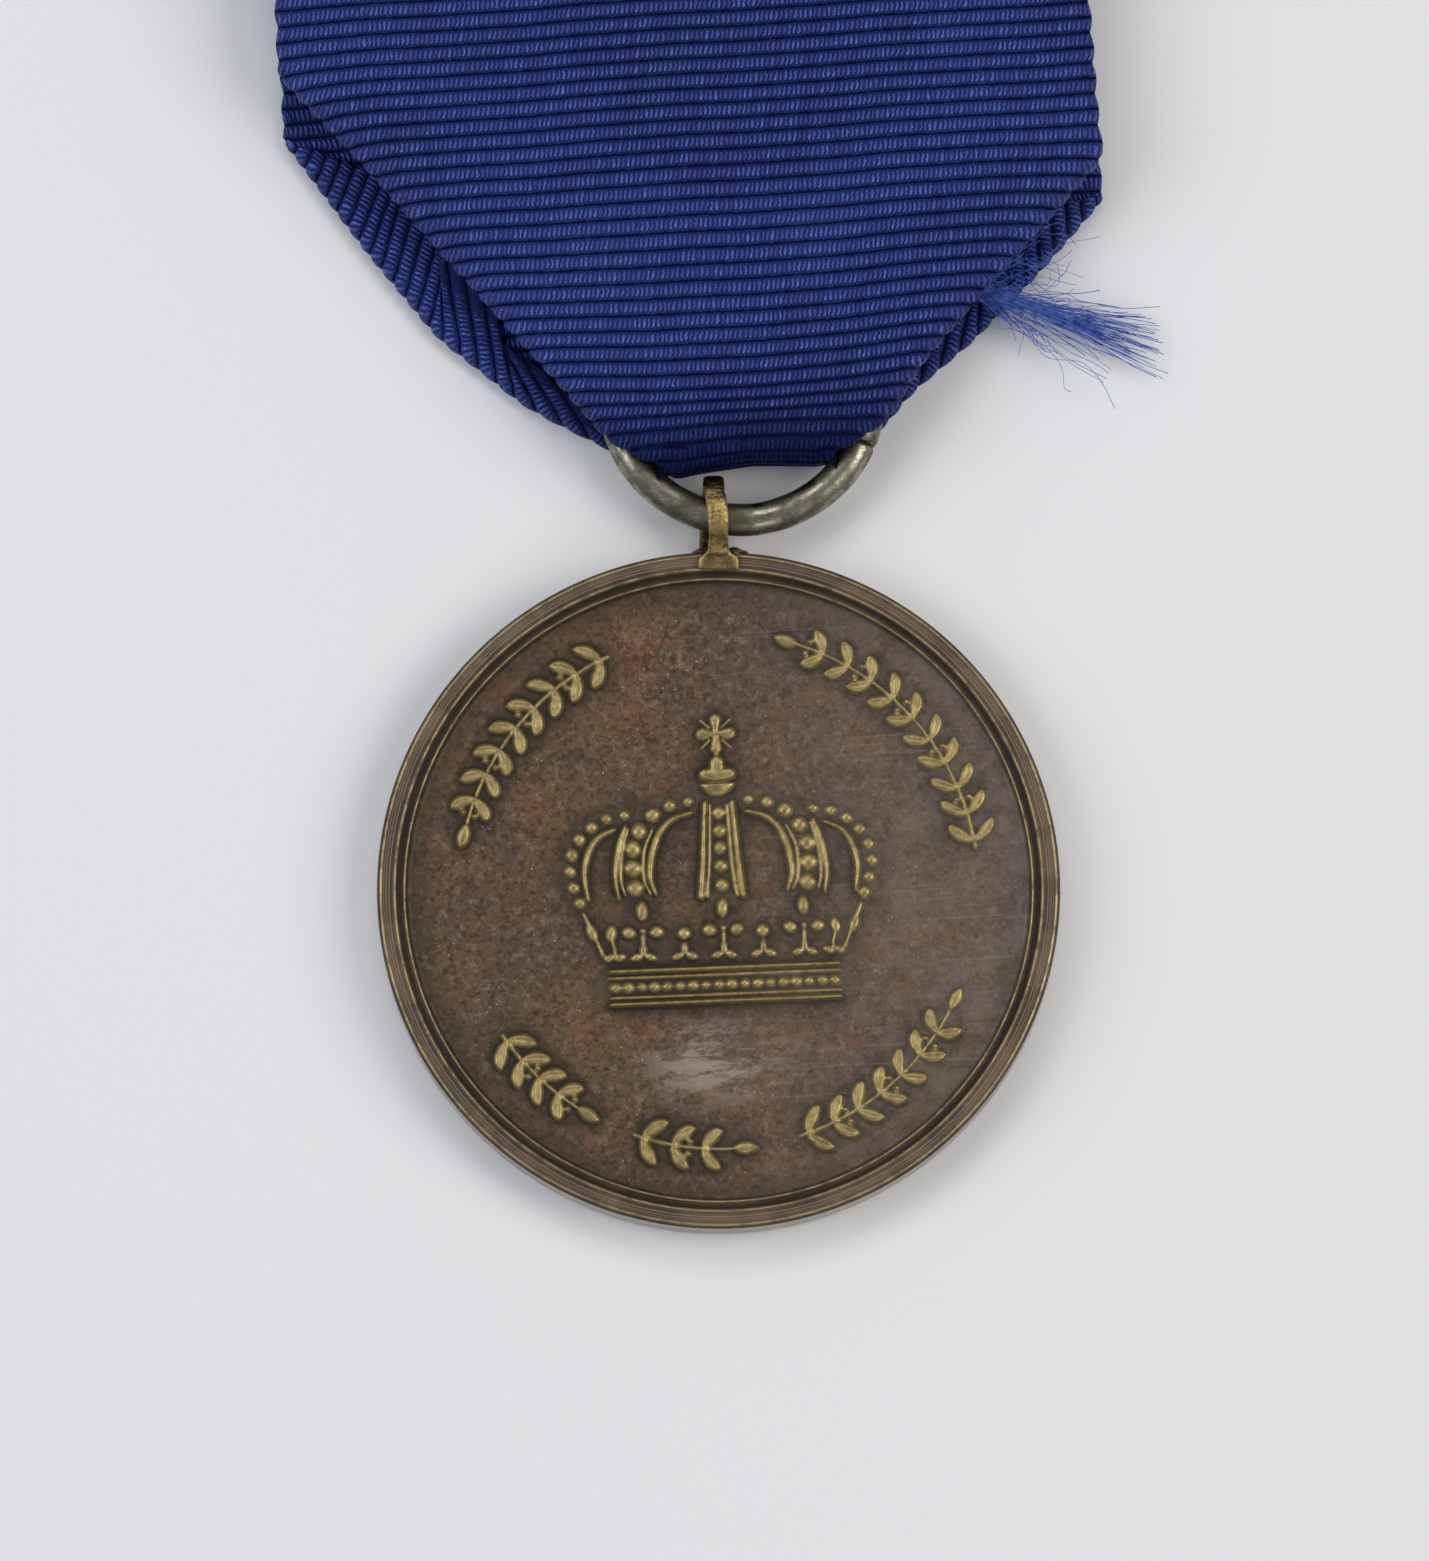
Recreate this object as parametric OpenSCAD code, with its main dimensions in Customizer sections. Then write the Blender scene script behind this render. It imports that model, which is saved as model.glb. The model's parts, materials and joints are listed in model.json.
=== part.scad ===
// Military service medal: a struck disc with a soldered eye, hung by a wire ring from a ribbed ribbon
// that is looped over a stiffener bar and carries a sewn-on bar brooch with a turning safety catch.
// Millimetres. The medal lies face up: +Y runs up the ribbon, +Z out of the medal's front.
// Lengths along Y are worked out from the hinge point where the ring runs through the eye.

/* [Medal disc] */
// Diameter of the struck disc
disc_d = 30; // [28:0.5:34]
// Thickness over the raised rims
disc_t = 2.3; // [2:0.1:2.8]
// Depth of the field below the front rim
field_depth = 0.4; // [0.3:0.05:0.5]
// Width of the raised rim
rim_w = 0.8; // [0.6:0.05:1.0]
// Turn of the struck design against the eye, in degrees
die_turn = 2.3; // [-4:0.1:4]

/* [Eye and ring] */
// Distance from the disc's centre to the eye's hole
eye_reach = 16.6; // [16.4:0.05:17]
// Outer radius of the eye's loop
eye_r = 1.8; // [1.75:0.01:1.84]
// Thickness of the eye's strip
eye_t = 0.5; // [0.4:0.05:0.6]
// Width of the eye's strip
eye_w = 0.95; // [0.8:0.05:1.1]
// Wire diameter of the suspension ring
ring_wire = 1.45; // [1.3:0.05:1.5]
// Outer diameter of the suspension ring
ring_d = 12.8; // [12.6:0.1:13.2]
// How far the ring's centre stands to the right of the eye
ring_shift = 1.4; // [1:0.1:1.6]
// Turn of the medal in its own plane against the ribbon, in degrees
medal_yaw = -4; // [-6:0.5:0]

/* [Ribbon] */
// Width of the ribbon
ribbon_w = 36; // [34:0.5:38]
// Thickness of the ribbon
ribbon_t = 0.45; // [0.35:0.05:0.45]
// Drop of the ribbon from its top fold to its bottom fold
ribbon_drop = 50; // [48:0.5:56]
// Width of the gathered ribbon inside the ring
neck_w = 6; // [5:0.25:6.2]

/* [Brooch] */
// Length of the brooch's base strip
base_l = 30; // [28:0.5:32]
// Width of the brooch's base strip
base_w = 4.5; // [4:0.25:5]
// Diameter of the needle
needle_d = 0.9; // [0.7:0.05:0.95]

/* [Hidden] */
$fn = 64;

disc_r = disc_d / 2;
// Height of the hinge point: the eye's loop just clears the surface that the medal lies on.
hinge_z = eye_r + 0.05;
ring_r = (ring_d - ring_wire) / 2;
ring_y = sqrt(ring_r * ring_r - ring_shift * ring_shift);

// Ribbon levels, from the table up: back layer, back flap, ring, front flap, front layer.
half_t = ribbon_t / 2;
fold_y = 1.95;
neck_r = 3.15 - hinge_z + half_t;
neck_y = fold_y + neck_r + half_t;
front_z = hinge_z + neck_r;
back_z = hinge_z - neck_r;
top_y = fold_y + ribbon_drop;

// Plan of the creases, from the neck up to the selvedge. The back layer's left one bulges.
crease_left = [-4.8, neck_y];
crease_right = [7.7, neck_y];
front_left = [crease_left, [-ribbon_w / 2, 20.6]];
front_right = [crease_right, [ribbon_w / 2, 14.4]];
back_left = [crease_left, [-12, 9], [-ribbon_w / 2, 17]];
back_right = [crease_right, [ribbon_w / 2, 12.8]];

// Brooch stack above the table.
needle_z = 1.45;
base_t = 0.6;
base_z = 3.05;
brooch_y = top_y - 5.85;
hinge_x = base_l / 2 - 2.5;
catch_x = -base_l / 2 + 3;
bar_back_z = base_z + base_t + half_t;
hem_z = bar_back_z + ribbon_t + 0.05;
bar_t = 0.8;
bar_z = hem_z + half_t + 0.05;
bar_front_z = bar_z + bar_t + 0.05 + half_t;

// The frame's origin is the middle of the footprint.
disc_y = -eye_reach * cos(medal_yaw);
origin_y = (top_y + disc_y - disc_r) / 2;

bronze = [0.33, 0.24, 0.19];
brass = [0.62, 0.50, 0.25];
nickel = [0.60, 0.58, 0.52];
steel = [0.72, 0.72, 0.70];
navy = [0.08, 0.13, 0.42];
thread = [0.10, 0.16, 0.45];

// ---------- helpers ----------

module place() { translate([0, -origin_y, 0]) children(); }

// The medal's own frame: hinge point at the origin, disc below it.
module in_medal() { place() rotate([0, 0, medal_yaw]) children(); }

// The struck design's frame: disc centre at the origin, on the front field.
module in_design() {
    translate([0, -eye_reach, disc_t - field_depth - 0.05]) rotate([0, 0, die_turn]) children();
}

function normal2(a, b) = let (d = (b - a) / norm(b - a)) [-d[1], d[0]];

// Unit mitre at point i of a path, long enough to keep the wall's thickness.
function mitre(path, i) =
    let (n0 = i > 0 ? normal2(path[i - 1], path[i]) : normal2(path[0], path[1]),
         n1 = i < len(path) - 1 ? normal2(path[i], path[i + 1]) : n0,
         m = (n0 + n1) / norm(n0 + n1))
    m / (m * n0);

function wall_outline(path, half) = concat(
    [for (i = [0:len(path) - 1]) path[i] + half * mitre(path, i)],
    [for (i = [len(path) - 1:-1:0]) path[i] - half * mitre(path, i)]);

// A sheet of the ribbon's thickness that follows a side-view path of [y, z] points.
module sheet(path, width) {
    translate([width / 2, 0, 0]) rotate([90, 0, -90]) mirror([1, 0, 0])
        linear_extrude(height = width) polygon(wall_outline(path, half_t));
}

function arc_points(centre, r, from, to, steps) =
    [for (i = [0:steps]) let (a = from + (to - from) * i / steps) centre + r * [cos(a), sin(a)]];

// The mirror image of point p in the line through a and b.
function mirrored(p, a, b) = let (d = (b - a) / norm(b - a), v = p - a) a + 2 * (v * d) * d - v;

// Point at share t of a cubic curve with control points c.
function bezier(c, t) = pow(1 - t, 3) * c[0] + 3 * pow(1 - t, 2) * t * c[1]
    + 3 * (1 - t) * t * t * c[2] + t * t * t * c[3];

// A capsule-shaped bar between two points of the XY plane, on the field.
module stroke(a, b, w, h) {
    d = b - a;
    translate([a[0], a[1], 0]) rotate([0, 0, atan2(d[1], d[0])])
        translate([0, -w / 2, 0]) cube([norm(d), w, h]);
}

// ---------- struck design: a plain heraldic crown and five laurel sprigs ----------

crown_base = [0.4, -4.75];
outer_arch = [[-6.3, 4.3], [-7.6, 7.6], [-5.2, 8.9], [-1.2, 8.9]];
inner_arch = [[-3.8, 4.9], [-4.6, 7.6], [-3.1, 8.9], [-1.2, 8.9]];

module pearl(p, r) { translate([p[0], p[1], 0]) cylinder(r = r, h = 0.4, $fn = 24); }

module arch(curve, pearls, r) {
    for (i = [0:pearls - 1]) pearl(bezier(curve, (i + 0.5) / pearls), r);
}

module fleuron(x, size) {
    pearl([x, 2.0 + 2.3 * size], 0.24 * size);
    for (side = [-1, 1]) pearl([x + side * 0.62 * size, 3.4 - 0.2 * size], 0.25);
    stroke([x, 1.7], [x, 2.0 + 2.1 * size], 0.16, 0.25);
}

module crown() {
    band_w = 10.2;
    band_h = 1.55;
    translate([crown_base[0], crown_base[1], 0]) {
        translate([-band_w / 2, 0, 0]) cube([band_w, band_h, 0.2]);
        for (y = [0, band_h - 0.16]) translate([-band_w / 2, y, 0]) cube([band_w, 0.16, 0.42]);
        for (i = [0:16]) pearl([(i - 8) * band_w / 17.5, band_h / 2], 0.2);
        for (side = [-1, 1]) scale_x(side) {
            arch(outer_arch, 10, 0.24);
            arch(inner_arch, 8, 0.3);
            fleuron(3.4, 1);
        }
        fleuron(0, 1);
        for (i = [0:4]) pearl([0, 5 + i * 0.85], 0.28);
        for (x = [-0.62, 0.5]) translate([x, 4.7, 0]) cube([0.12, 4.2, 0.36]);
        translate([0, 9.5, 0]) cylinder(r = 0.85, h = 0.44);
        stroke([0, 10.2], [0, 12.4], 0.3, 0.4);
        stroke([-0.7, 11.7], [0.7, 11.7], 0.3, 0.4);
    }
}

module scale_x(side) { if (side < 0) mirror([1, 0, 0]) children(); else children(); }

// A pointed leaf along +X: the common part of two circles.
module leaf(length, width) {
    r = (length * length / 4 + width * width / 4) / width;
    linear_extrude(height = 0.38) intersection() {
        translate([length / 2, r - width / 2]) circle(r = r);
        translate([length / 2, width / 2 - r]) circle(r = r);
    }
}

// A sprig along an arc of the legend, from one angle to another.
module sprig(from, to, r = 11.4) {
    count = round((to - from) / 7);
    step = (to - from) / count;
    for (i = [0:count - 1]) rotate([0, 0, from + (i + 0.5) * step]) translate([r, 0, 0]) {
        for (side = [-1, 1]) translate([side * 0.1, -0.5, 0]) rotate([0, 0, 90 - side * 38]) leaf(1.5, 0.6);
        pearl([0.9, -0.55], 0.16);
    }
}

// ---------- medal ----------

module medal_disc() {
    edge = 0.15;
    front = disc_t;
    field = disc_t - field_depth;
    in_rim = disc_r - rim_w;
    color(bronze) in_medal() {
        translate([0, -eye_reach, 0]) rotate_extrude($fn = 128) polygon([
            [0, field_depth], [disc_r - rim_w - 0.5, field_depth],
            [disc_r - rim_w - 0.25, 0], [disc_r - edge, 0],
            [disc_r, edge], [disc_r, front - edge], [disc_r - edge, front], [in_rim, front],
            [in_rim - 0.1, field + 0.05], [in_rim - 0.3, field + 0.05], [in_rim - 0.34, field + 0.2],
            [in_rim - 0.46, field + 0.2], [in_rim - 0.5, field], [0, field]]);
        in_design() {
            crown();
            sprig(113, 164);
            sprig(7, 71);
            sprig(212, 236);
            sprig(249, 272);
            sprig(286, 331);
        }
    }
}

// The bent strip of the eye, seen from its side: loop, two legs and the foot on the front rim.
module suspension_eye() {
    in_r = eye_r - eye_t;
    foot_w = 2.4;
    foot_l = 1.0;
    foot_t = 0.3;
    edge_y = disc_r - eye_reach;
    rim_z = disc_t - hinge_z;
    color(brass) in_medal() translate([0, 0, hinge_z]) {
        difference() {
            rotate([0, 90, 0]) union() {
                translate([0, 0, -eye_w / 2]) cylinder(r = eye_r, h = eye_w);
                // legs, closing from the loop's sides to the disc
                translate([0, 0, -eye_w / 2]) linear_extrude(height = eye_w)
                    polygon([[-eye_r + 0.05, 0], [eye_r - 0.05, 0], [eye_r - 0.15, edge_y - 0.1],
                             [-rim_z - foot_t, edge_y - 0.1], [-rim_z - 0.75, edge_y + 0.35]]);
            }
            rotate([0, 90, 0]) cylinder(r = in_r, h = 4 * eye_w, center = true);
            // the gap between the legs above the disc's edge
            translate([-eye_w, edge_y + 0.2, -in_r + 0.1]) cube([2 * eye_w, -edge_y - 0.2, 2 * in_r - 0.5]);
            translate([0, -eye_reach, -hinge_z - 1]) cylinder(r = disc_r + 0.02, h = disc_t + 1, $fn = 128);
        }
        translate([-foot_w / 2, edge_y - foot_l, rim_z]) cube([foot_w, foot_l, foot_t]);
    }
}

// Solder left at both sides of the eye's legs, on the disc's edge.
module eye_solder() {
    lump_r = 0.5;
    color(steel) in_medal() difference() {
        for (side = [-1, 1])
            translate([side * (eye_w / 2 + 0.45), disc_r - eye_reach, hinge_z - 0.6])
                sphere(r = lump_r, $fn = 32);
        translate([0, -eye_reach, -1]) cylinder(r = disc_r + 0.02, h = disc_t + 2, $fn = 128);
        translate([-eye_w / 2 - 0.02, -3, 0]) cube([eye_w + 0.04, 6, 2 * hinge_z]);
    }
}

module suspension_ring() {
    seam = 0.06;
    seam_angle = -27;
    color(nickel) place() translate([ring_shift, ring_y, hinge_z]) difference() {
        rotate_extrude($fn = 128) translate([ring_r, 0]) circle(d = ring_wire);
        rotate([0, 0, seam_angle]) translate([0, -seam / 2, -ring_wire])
            cube([ring_d, seam, 2 * ring_wire]);
    }
}

// ---------- ribbon ----------

front_path = concat(
    [[top_y - 9, hem_z]],
    arc_points([top_y - 0.9, (hem_z + bar_front_z) / 2], (bar_front_z - hem_z) / 2, -90, 90, 10),
    [[top_y - 10, bar_front_z], [neck_y + 17.4, front_z], [neck_y, front_z]]);
back_path = [[neck_y, back_z], [neck_y + 14.4, back_z],
             [top_y - 11, bar_back_z], [top_y - 2.5, bar_back_z]];

function last(list) = list[len(list) - 1];

// Plan of one layer: full width above its two creases, narrowing to the neck below them.
module layer_plan(left, right) {
    top_corners = [[-ribbon_w / 2, top_y + 1], [ribbon_w / 2, top_y + 1]];
    translate([0, 0, -1]) linear_extrude(height = 9)
        polygon(concat(left, top_corners, [last(right), right[0]]));
}

// The corner of a layer, folded in over its crease.
module flap(crease, z) {
    start = crease[0];
    end = last(crease);
    translate([0, 0, z]) linear_extrude(height = ribbon_t)
        polygon([start, end, mirrored([end[0], neck_y], start, end)]);
}

module ribbon() {
    under_front = front_z - half_t - ribbon_t;
    over_back = back_z + half_t;
    color(navy) place() {
        intersection() {
            sheet(front_path, ribbon_w);
            layer_plan(front_left, front_right);
        }
        intersection() {
            sheet(back_path, ribbon_w);
            layer_plan(back_left, back_right);
        }
        for (crease = [front_left, front_right]) flap(crease, under_front);
        for (crease = [back_left, back_right]) flap(crease, over_back);
        // the gathered neck that turns through the ring
        translate([ring_shift, neck_y, hinge_z]) rotate([0, 90, 0]) difference() {
            cylinder(r = neck_r + half_t, h = neck_w, center = true);
            cylinder(r = neck_r - half_t, h = neck_w + 1, center = true);
            translate([-5, 0, -neck_w]) cube([10, 5, 2 * neck_w]);
        }
    }
}

// Tinned plate inside the ribbon's top fold.
module stiffener_bar() {
    color(steel) place() translate([-ribbon_w / 2 + 1, top_y - 8.4, bar_z])
        cube([ribbon_w - 2, 7.6, bar_t]);
}

// Overcast stitches that close the hem on the back.
module hem_stitches() {
    count = 14;
    pitch = (ribbon_w - 4) / count;
    color(thread) place() for (i = [0:count - 1])
        translate([-ribbon_w / 2 + 2 + (i + 0.5) * pitch, top_y - 2.55, bar_back_z - half_t - 0.12])
            rotate([0, 0, 25]) cube([0.35, 1, 0.24], center = true);
}

// Small stitches that hold the folded corners on the back.
module gusset_tacks() {
    tack = [1.3, 0.35, 0.08];
    color(thread) place() for (side = [-1, 1], i = [0:2])
        translate([side < 0 ? -10.5 - i * 1.1 : 12.2 + i * 1.1, (side < 0 ? 10.8 : 9.8) + i * 1.2, 0.02])
            rotate([0, 0, -side * 40]) translate(-[tack[0], tack[1], 0] / 2) cube(tack);
}

// The loose end of the tacking yarn, which shows beside the right corner.
module frayed_yarn() {
    start = [12.2, 9.5, 1.8];
    end = [17.8, 6.9, 0.9];
    run = end - start;
    flat = norm([run[0], run[1]]);
    color(thread) place() translate(start) rotate([0, 90 - atan2(run[2], flat), atan2(run[1], run[0])])
        cylinder(r1 = 0.25, r2 = 0.6, h = norm(run) - 0.4, $fn = 24);
}

// ---------- brooch ----------

module at_needle_axis(x) { place() translate([x, brooch_y, needle_z]) children(); }

rivet_r = 0.48;
ear_gap = 2;
ear_t = 0.5;
ear_r = 1.2;
sewing_holes = [-10.5, -4, 4, 9];

// Base strip with sewing holes and the two hinge ears.
module brooch_base() {
    web_h = base_z + 0.1 - needle_z;
    color(brass) {
        place() difference() {
            union() {
                translate([base_w / 2 - base_l / 2, brooch_y - base_w / 2, base_z])
                    cube([base_l - base_w, base_w, base_t]);
                for (side = [-1, 1]) translate([side * (base_l - base_w) / 2, brooch_y, base_z])
                    cylinder(d = base_w, h = base_t);
            }
            for (x = sewing_holes, side = [-1, 1])
                translate([x, brooch_y + side * (base_w / 2 - 0.9), base_z - 1])
                    cylinder(r = 0.45, h = 3, $fn = 24);
        }
        at_needle_axis(hinge_x) for (side = [-1, 1]) difference() {
            translate([0, side * (ear_gap + ear_t) / 2, 0]) rotate([90, 0, 0]) union() {
                cylinder(r = ear_r, h = ear_t, center = true);
                translate([-ear_r, 0, -ear_t / 2]) cube([2 * ear_r, web_h, ear_t]);
            }
            rotate([90, 0, 0]) cylinder(r = rivet_r + 0.01, h = 8, center = true);
        }
    }
}

module hinge_rivet() {
    head_t = 0.25;
    reach = ear_gap / 2 + ear_t;
    color(steel) at_needle_axis(hinge_x) rotate([90, 0, 0]) {
        cylinder(r = rivet_r, h = 2 * reach + 0.2, center = true);
        for (side = [-1, 1]) translate([0, 0, side * (reach + 0.02 + head_t / 2)])
            cylinder(r = 0.8, h = head_t, center = true);
    }
}

// Needle: an eye on the rivet, a round shaft and a long point that ends in the catch.
module brooch_needle() {
    shaft = hinge_x - catch_x - 2.2;
    point = 4.6;
    color(steel) at_needle_axis(hinge_x) difference() {
        union() {
            rotate([90, 0, 0]) cylinder(r = 1, h = ear_gap - 0.2, center = true);
            rotate([0, -90, 0]) cylinder(d = needle_d, h = shaft);
            translate([-shaft, 0, 0]) rotate([0, -90, 0]) cylinder(d1 = needle_d, d2 = 0.12, h = point);
        }
        rotate([90, 0, 0]) cylinder(r = rivet_r + 0.05, h = 8, center = true);
    }
}

housing_r = 1.42;
housing_l = 2.6;
barrel_r = 1.02;

// Slot along the catch, open towards the back of the brooch.
module catch_slot(w, l) { translate([-l / 2, -w / 2, -5]) cube([l, w, 5]); }

module catch_housing() {
    color(brass) at_needle_axis(catch_x) difference() {
        union() {
            rotate([0, 90, 0]) cylinder(r = housing_r, h = housing_l, center = true);
            translate([-housing_l / 2, -1.1, 0]) cube([housing_l, 2.2, base_z - needle_z]);
        }
        rotate([0, 90, 0]) cylinder(r = barrel_r + 0.05, h = 2 * housing_l, center = true);
        catch_slot(1.3, 2 * housing_l);
    }
}

// Turning sleeve with a flange at each end and a thumb tab.
module catch_barrel() {
    flange_t = 0.35;
    flange_x = housing_l / 2 + 0.05 + flange_t / 2;
    color(steel) at_needle_axis(catch_x) {
        difference() {
            union() {
                rotate([0, 90, 0]) cylinder(r = barrel_r, h = 2 * flange_x, center = true);
                for (side = [-1, 1]) translate([side * flange_x, 0, 0]) rotate([0, 90, 0])
                    cylinder(r = 1.35, h = flange_t, center = true);
            }
            rotate([0, 90, 0]) cylinder(r = 0.62, h = 10, center = true);
            catch_slot(1.1, 10);
        }
        translate([-flange_x - 1.1, 0.75, -0.25]) cube([1.1, 0.55, 0.5]);
    }
}

// Staples of thread through the base's holes and over its edges.
module brooch_stitches() {
    t = 0.3;
    color(thread) place() for (x = sewing_holes, side = [-1, 1])
        translate([x, brooch_y + side * (base_w / 2 - 0.9), 0]) {
            translate([0, 0, base_z - t]) cylinder(r = 0.4, h = t + base_t, $fn = 24);
            translate([-t / 2, side > 0 ? 0 : -1.3, base_z - t]) cube([t, 1.3, t]);
            translate([-t / 2, side > 0 ? 0.95 : -1.3, base_z - t]) cube([t, 0.35, t + base_t]);
        }
}

medal_disc();
suspension_eye();
eye_solder();
suspension_ring();
ribbon();
stiffener_bar();
brooch_base();
hinge_rivet();
brooch_needle();
catch_housing();
catch_barrel();
brooch_stitches();
hem_stitches();
gusset_tacks();
frayed_yarn();
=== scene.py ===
"""Looks of a military service medal: struck disc, eye, wire ring, folded ribbed ribbon and bar brooch.

Lengths in the shape code are millimetres in the row frame; MM turns them into metres.
"""

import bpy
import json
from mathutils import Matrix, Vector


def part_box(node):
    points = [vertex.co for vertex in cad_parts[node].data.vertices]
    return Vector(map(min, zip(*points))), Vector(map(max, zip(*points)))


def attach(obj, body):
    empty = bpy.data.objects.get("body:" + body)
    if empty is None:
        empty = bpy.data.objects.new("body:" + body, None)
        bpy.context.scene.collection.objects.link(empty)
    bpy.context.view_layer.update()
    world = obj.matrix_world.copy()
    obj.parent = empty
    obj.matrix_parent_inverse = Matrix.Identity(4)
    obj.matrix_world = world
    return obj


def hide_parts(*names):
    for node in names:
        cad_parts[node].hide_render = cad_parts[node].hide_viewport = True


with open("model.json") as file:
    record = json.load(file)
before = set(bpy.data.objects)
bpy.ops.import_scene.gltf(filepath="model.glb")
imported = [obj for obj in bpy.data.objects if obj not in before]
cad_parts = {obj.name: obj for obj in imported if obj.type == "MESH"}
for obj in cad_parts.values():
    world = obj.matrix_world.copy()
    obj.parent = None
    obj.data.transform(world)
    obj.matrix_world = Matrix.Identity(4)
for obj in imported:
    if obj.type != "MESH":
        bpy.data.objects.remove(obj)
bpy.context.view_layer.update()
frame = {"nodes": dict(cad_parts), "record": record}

import json
import math

import bmesh
import bpy
import numpy as np
from mathutils import Matrix, Vector

MM = 0.001


# ---------------------------------------------------------------- the frame, in millimetres

def box_mm(node):
    """A node's lowest and highest corners, in millimetres."""
    low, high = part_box(node)
    return np.array(low) / MM, np.array(high) / MM


joints = {j["name"]: j for j in frame["record"]["behaviour"]["joints"]}
HINGE = np.array(joints["medal_swing"]["pos_m"]) / MM
SWING_AXIS = joints["medal_swing"]["axis"]
MEDAL_YAW = math.atan2(SWING_AXIS[1], SWING_AXIS[0])
MEDAL_X = np.array([math.cos(MEDAL_YAW), math.sin(MEDAL_YAW), 0.0])
MEDAL_Y = np.array([-math.sin(MEDAL_YAW), math.cos(MEDAL_YAW), 0.0])
Z = np.array([0.0, 0.0, 1.0])

disc_low, disc_high = box_mm("medal_disc")
DISC_R = round((disc_high[0] - disc_low[0]) / 2, 2)
DISC = np.array([(disc_low[0] + disc_high[0]) / 2, (disc_low[1] + disc_high[1]) / 2, 0.0])
DISC_T = 2.3
FIELD_DEPTH = 0.4
DIE_TURN = math.radians(2.3)


# ---------------------------------------------------------------- camera, floor and light

CAMERA_DISTANCE = 520.0
CAMERA_TILT = math.radians(8.5)
VIEW_H = 68.6
SENSOR = 36.0


def add_camera():
    """A long lens almost straight over the medal, framed and turned as in the photograph."""
    target = DISC + MEDAL_X * -0.18 + MEDAL_Y * 4.80 + Z * DISC_T
    back = Z * math.cos(CAMERA_TILT) - MEDAL_Y * math.sin(CAMERA_TILT)
    up = MEDAL_Y * math.cos(CAMERA_TILT) + Z * math.sin(CAMERA_TILT)
    data = bpy.data.cameras.new("camera")
    data.sensor_fit = "VERTICAL"
    data.sensor_height = SENSOR
    data.lens = SENSOR * CAMERA_DISTANCE / VIEW_H
    data.clip_start = 0.01
    data.clip_end = 20
    camera = bpy.data.objects.new("camera", data)
    bpy.context.collection.objects.link(camera)
    turn = Matrix([MEDAL_X, up, back]).transposed()
    place = Vector((target + back * CAMERA_DISTANCE) * MM)
    camera.matrix_world = Matrix.Translation(place) @ turn.to_4x4()
    bpy.context.scene.camera = camera


def add_light(name, towards, distance, size, watts, colour):
    """A rectangular softbox on the given side of the medal, facing it."""
    data = bpy.data.lights.new(name, "AREA")
    data.shape = "RECTANGLE"
    data.size, data.size_y = size[0] * MM, size[1] * MM
    data.energy = watts
    data.color = colour
    lamp = bpy.data.objects.new(name, data)
    bpy.context.collection.objects.link(lamp)
    direction = Vector(towards).normalized()
    lamp.location = Vector(HINGE * MM) + direction * distance * MM
    lamp.rotation_mode = "QUATERNION"
    lamp.rotation_quaternion = direction.to_track_quat("Z", "Y")


def add_stage():
    """White paper under the medal, a dim pale world and four softboxes."""
    side = 1500 * MM
    mesh = bpy.data.meshes.new("floor")
    corners = [(-side, -side, 0), (side, -side, 0), (side, side, 0), (-side, side, 0)]
    mesh.from_pydata(corners, [], [(0, 1, 2, 3)])
    floor = bpy.data.objects.new("floor", mesh)
    bpy.context.collection.objects.link(floor)
    floor.location.z = -0.02 * MM
    paper = Material("paper_floor", (0.80, 0.80, 0.815), roughness=0.9, specular=0.2)
    mesh.materials.append(paper.material)
    world = bpy.data.worlds.new("studio")
    world.use_nodes = True
    world.node_tree.nodes["Background"].inputs["Color"].default_value = (0.93, 0.95, 1.0, 1)
    world.node_tree.nodes["Background"].inputs["Strength"].default_value = 0.26
    bpy.context.scene.world = world
    add_light("softbox_left", (-1.0, 0.12, 0.95), 700, (420, 520), 1.85, (0.90, 0.95, 1.0))
    add_light("softbox_right", (1.0, -0.1, 0.95), 700, (380, 480), 2.2, (1.0, 0.975, 0.91))
    add_light("softbox_top", (-0.1, 0.9, 1.3), 800, (500, 300), 1.15, (1.0, 1.0, 1.0))
    add_light("softbox_front", (0.1, -1.0, 0.8), 800, (600, 300), 0.75, (1.0, 1.0, 1.0))


# ---------------------------------------------------------------- node-based materials

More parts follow.
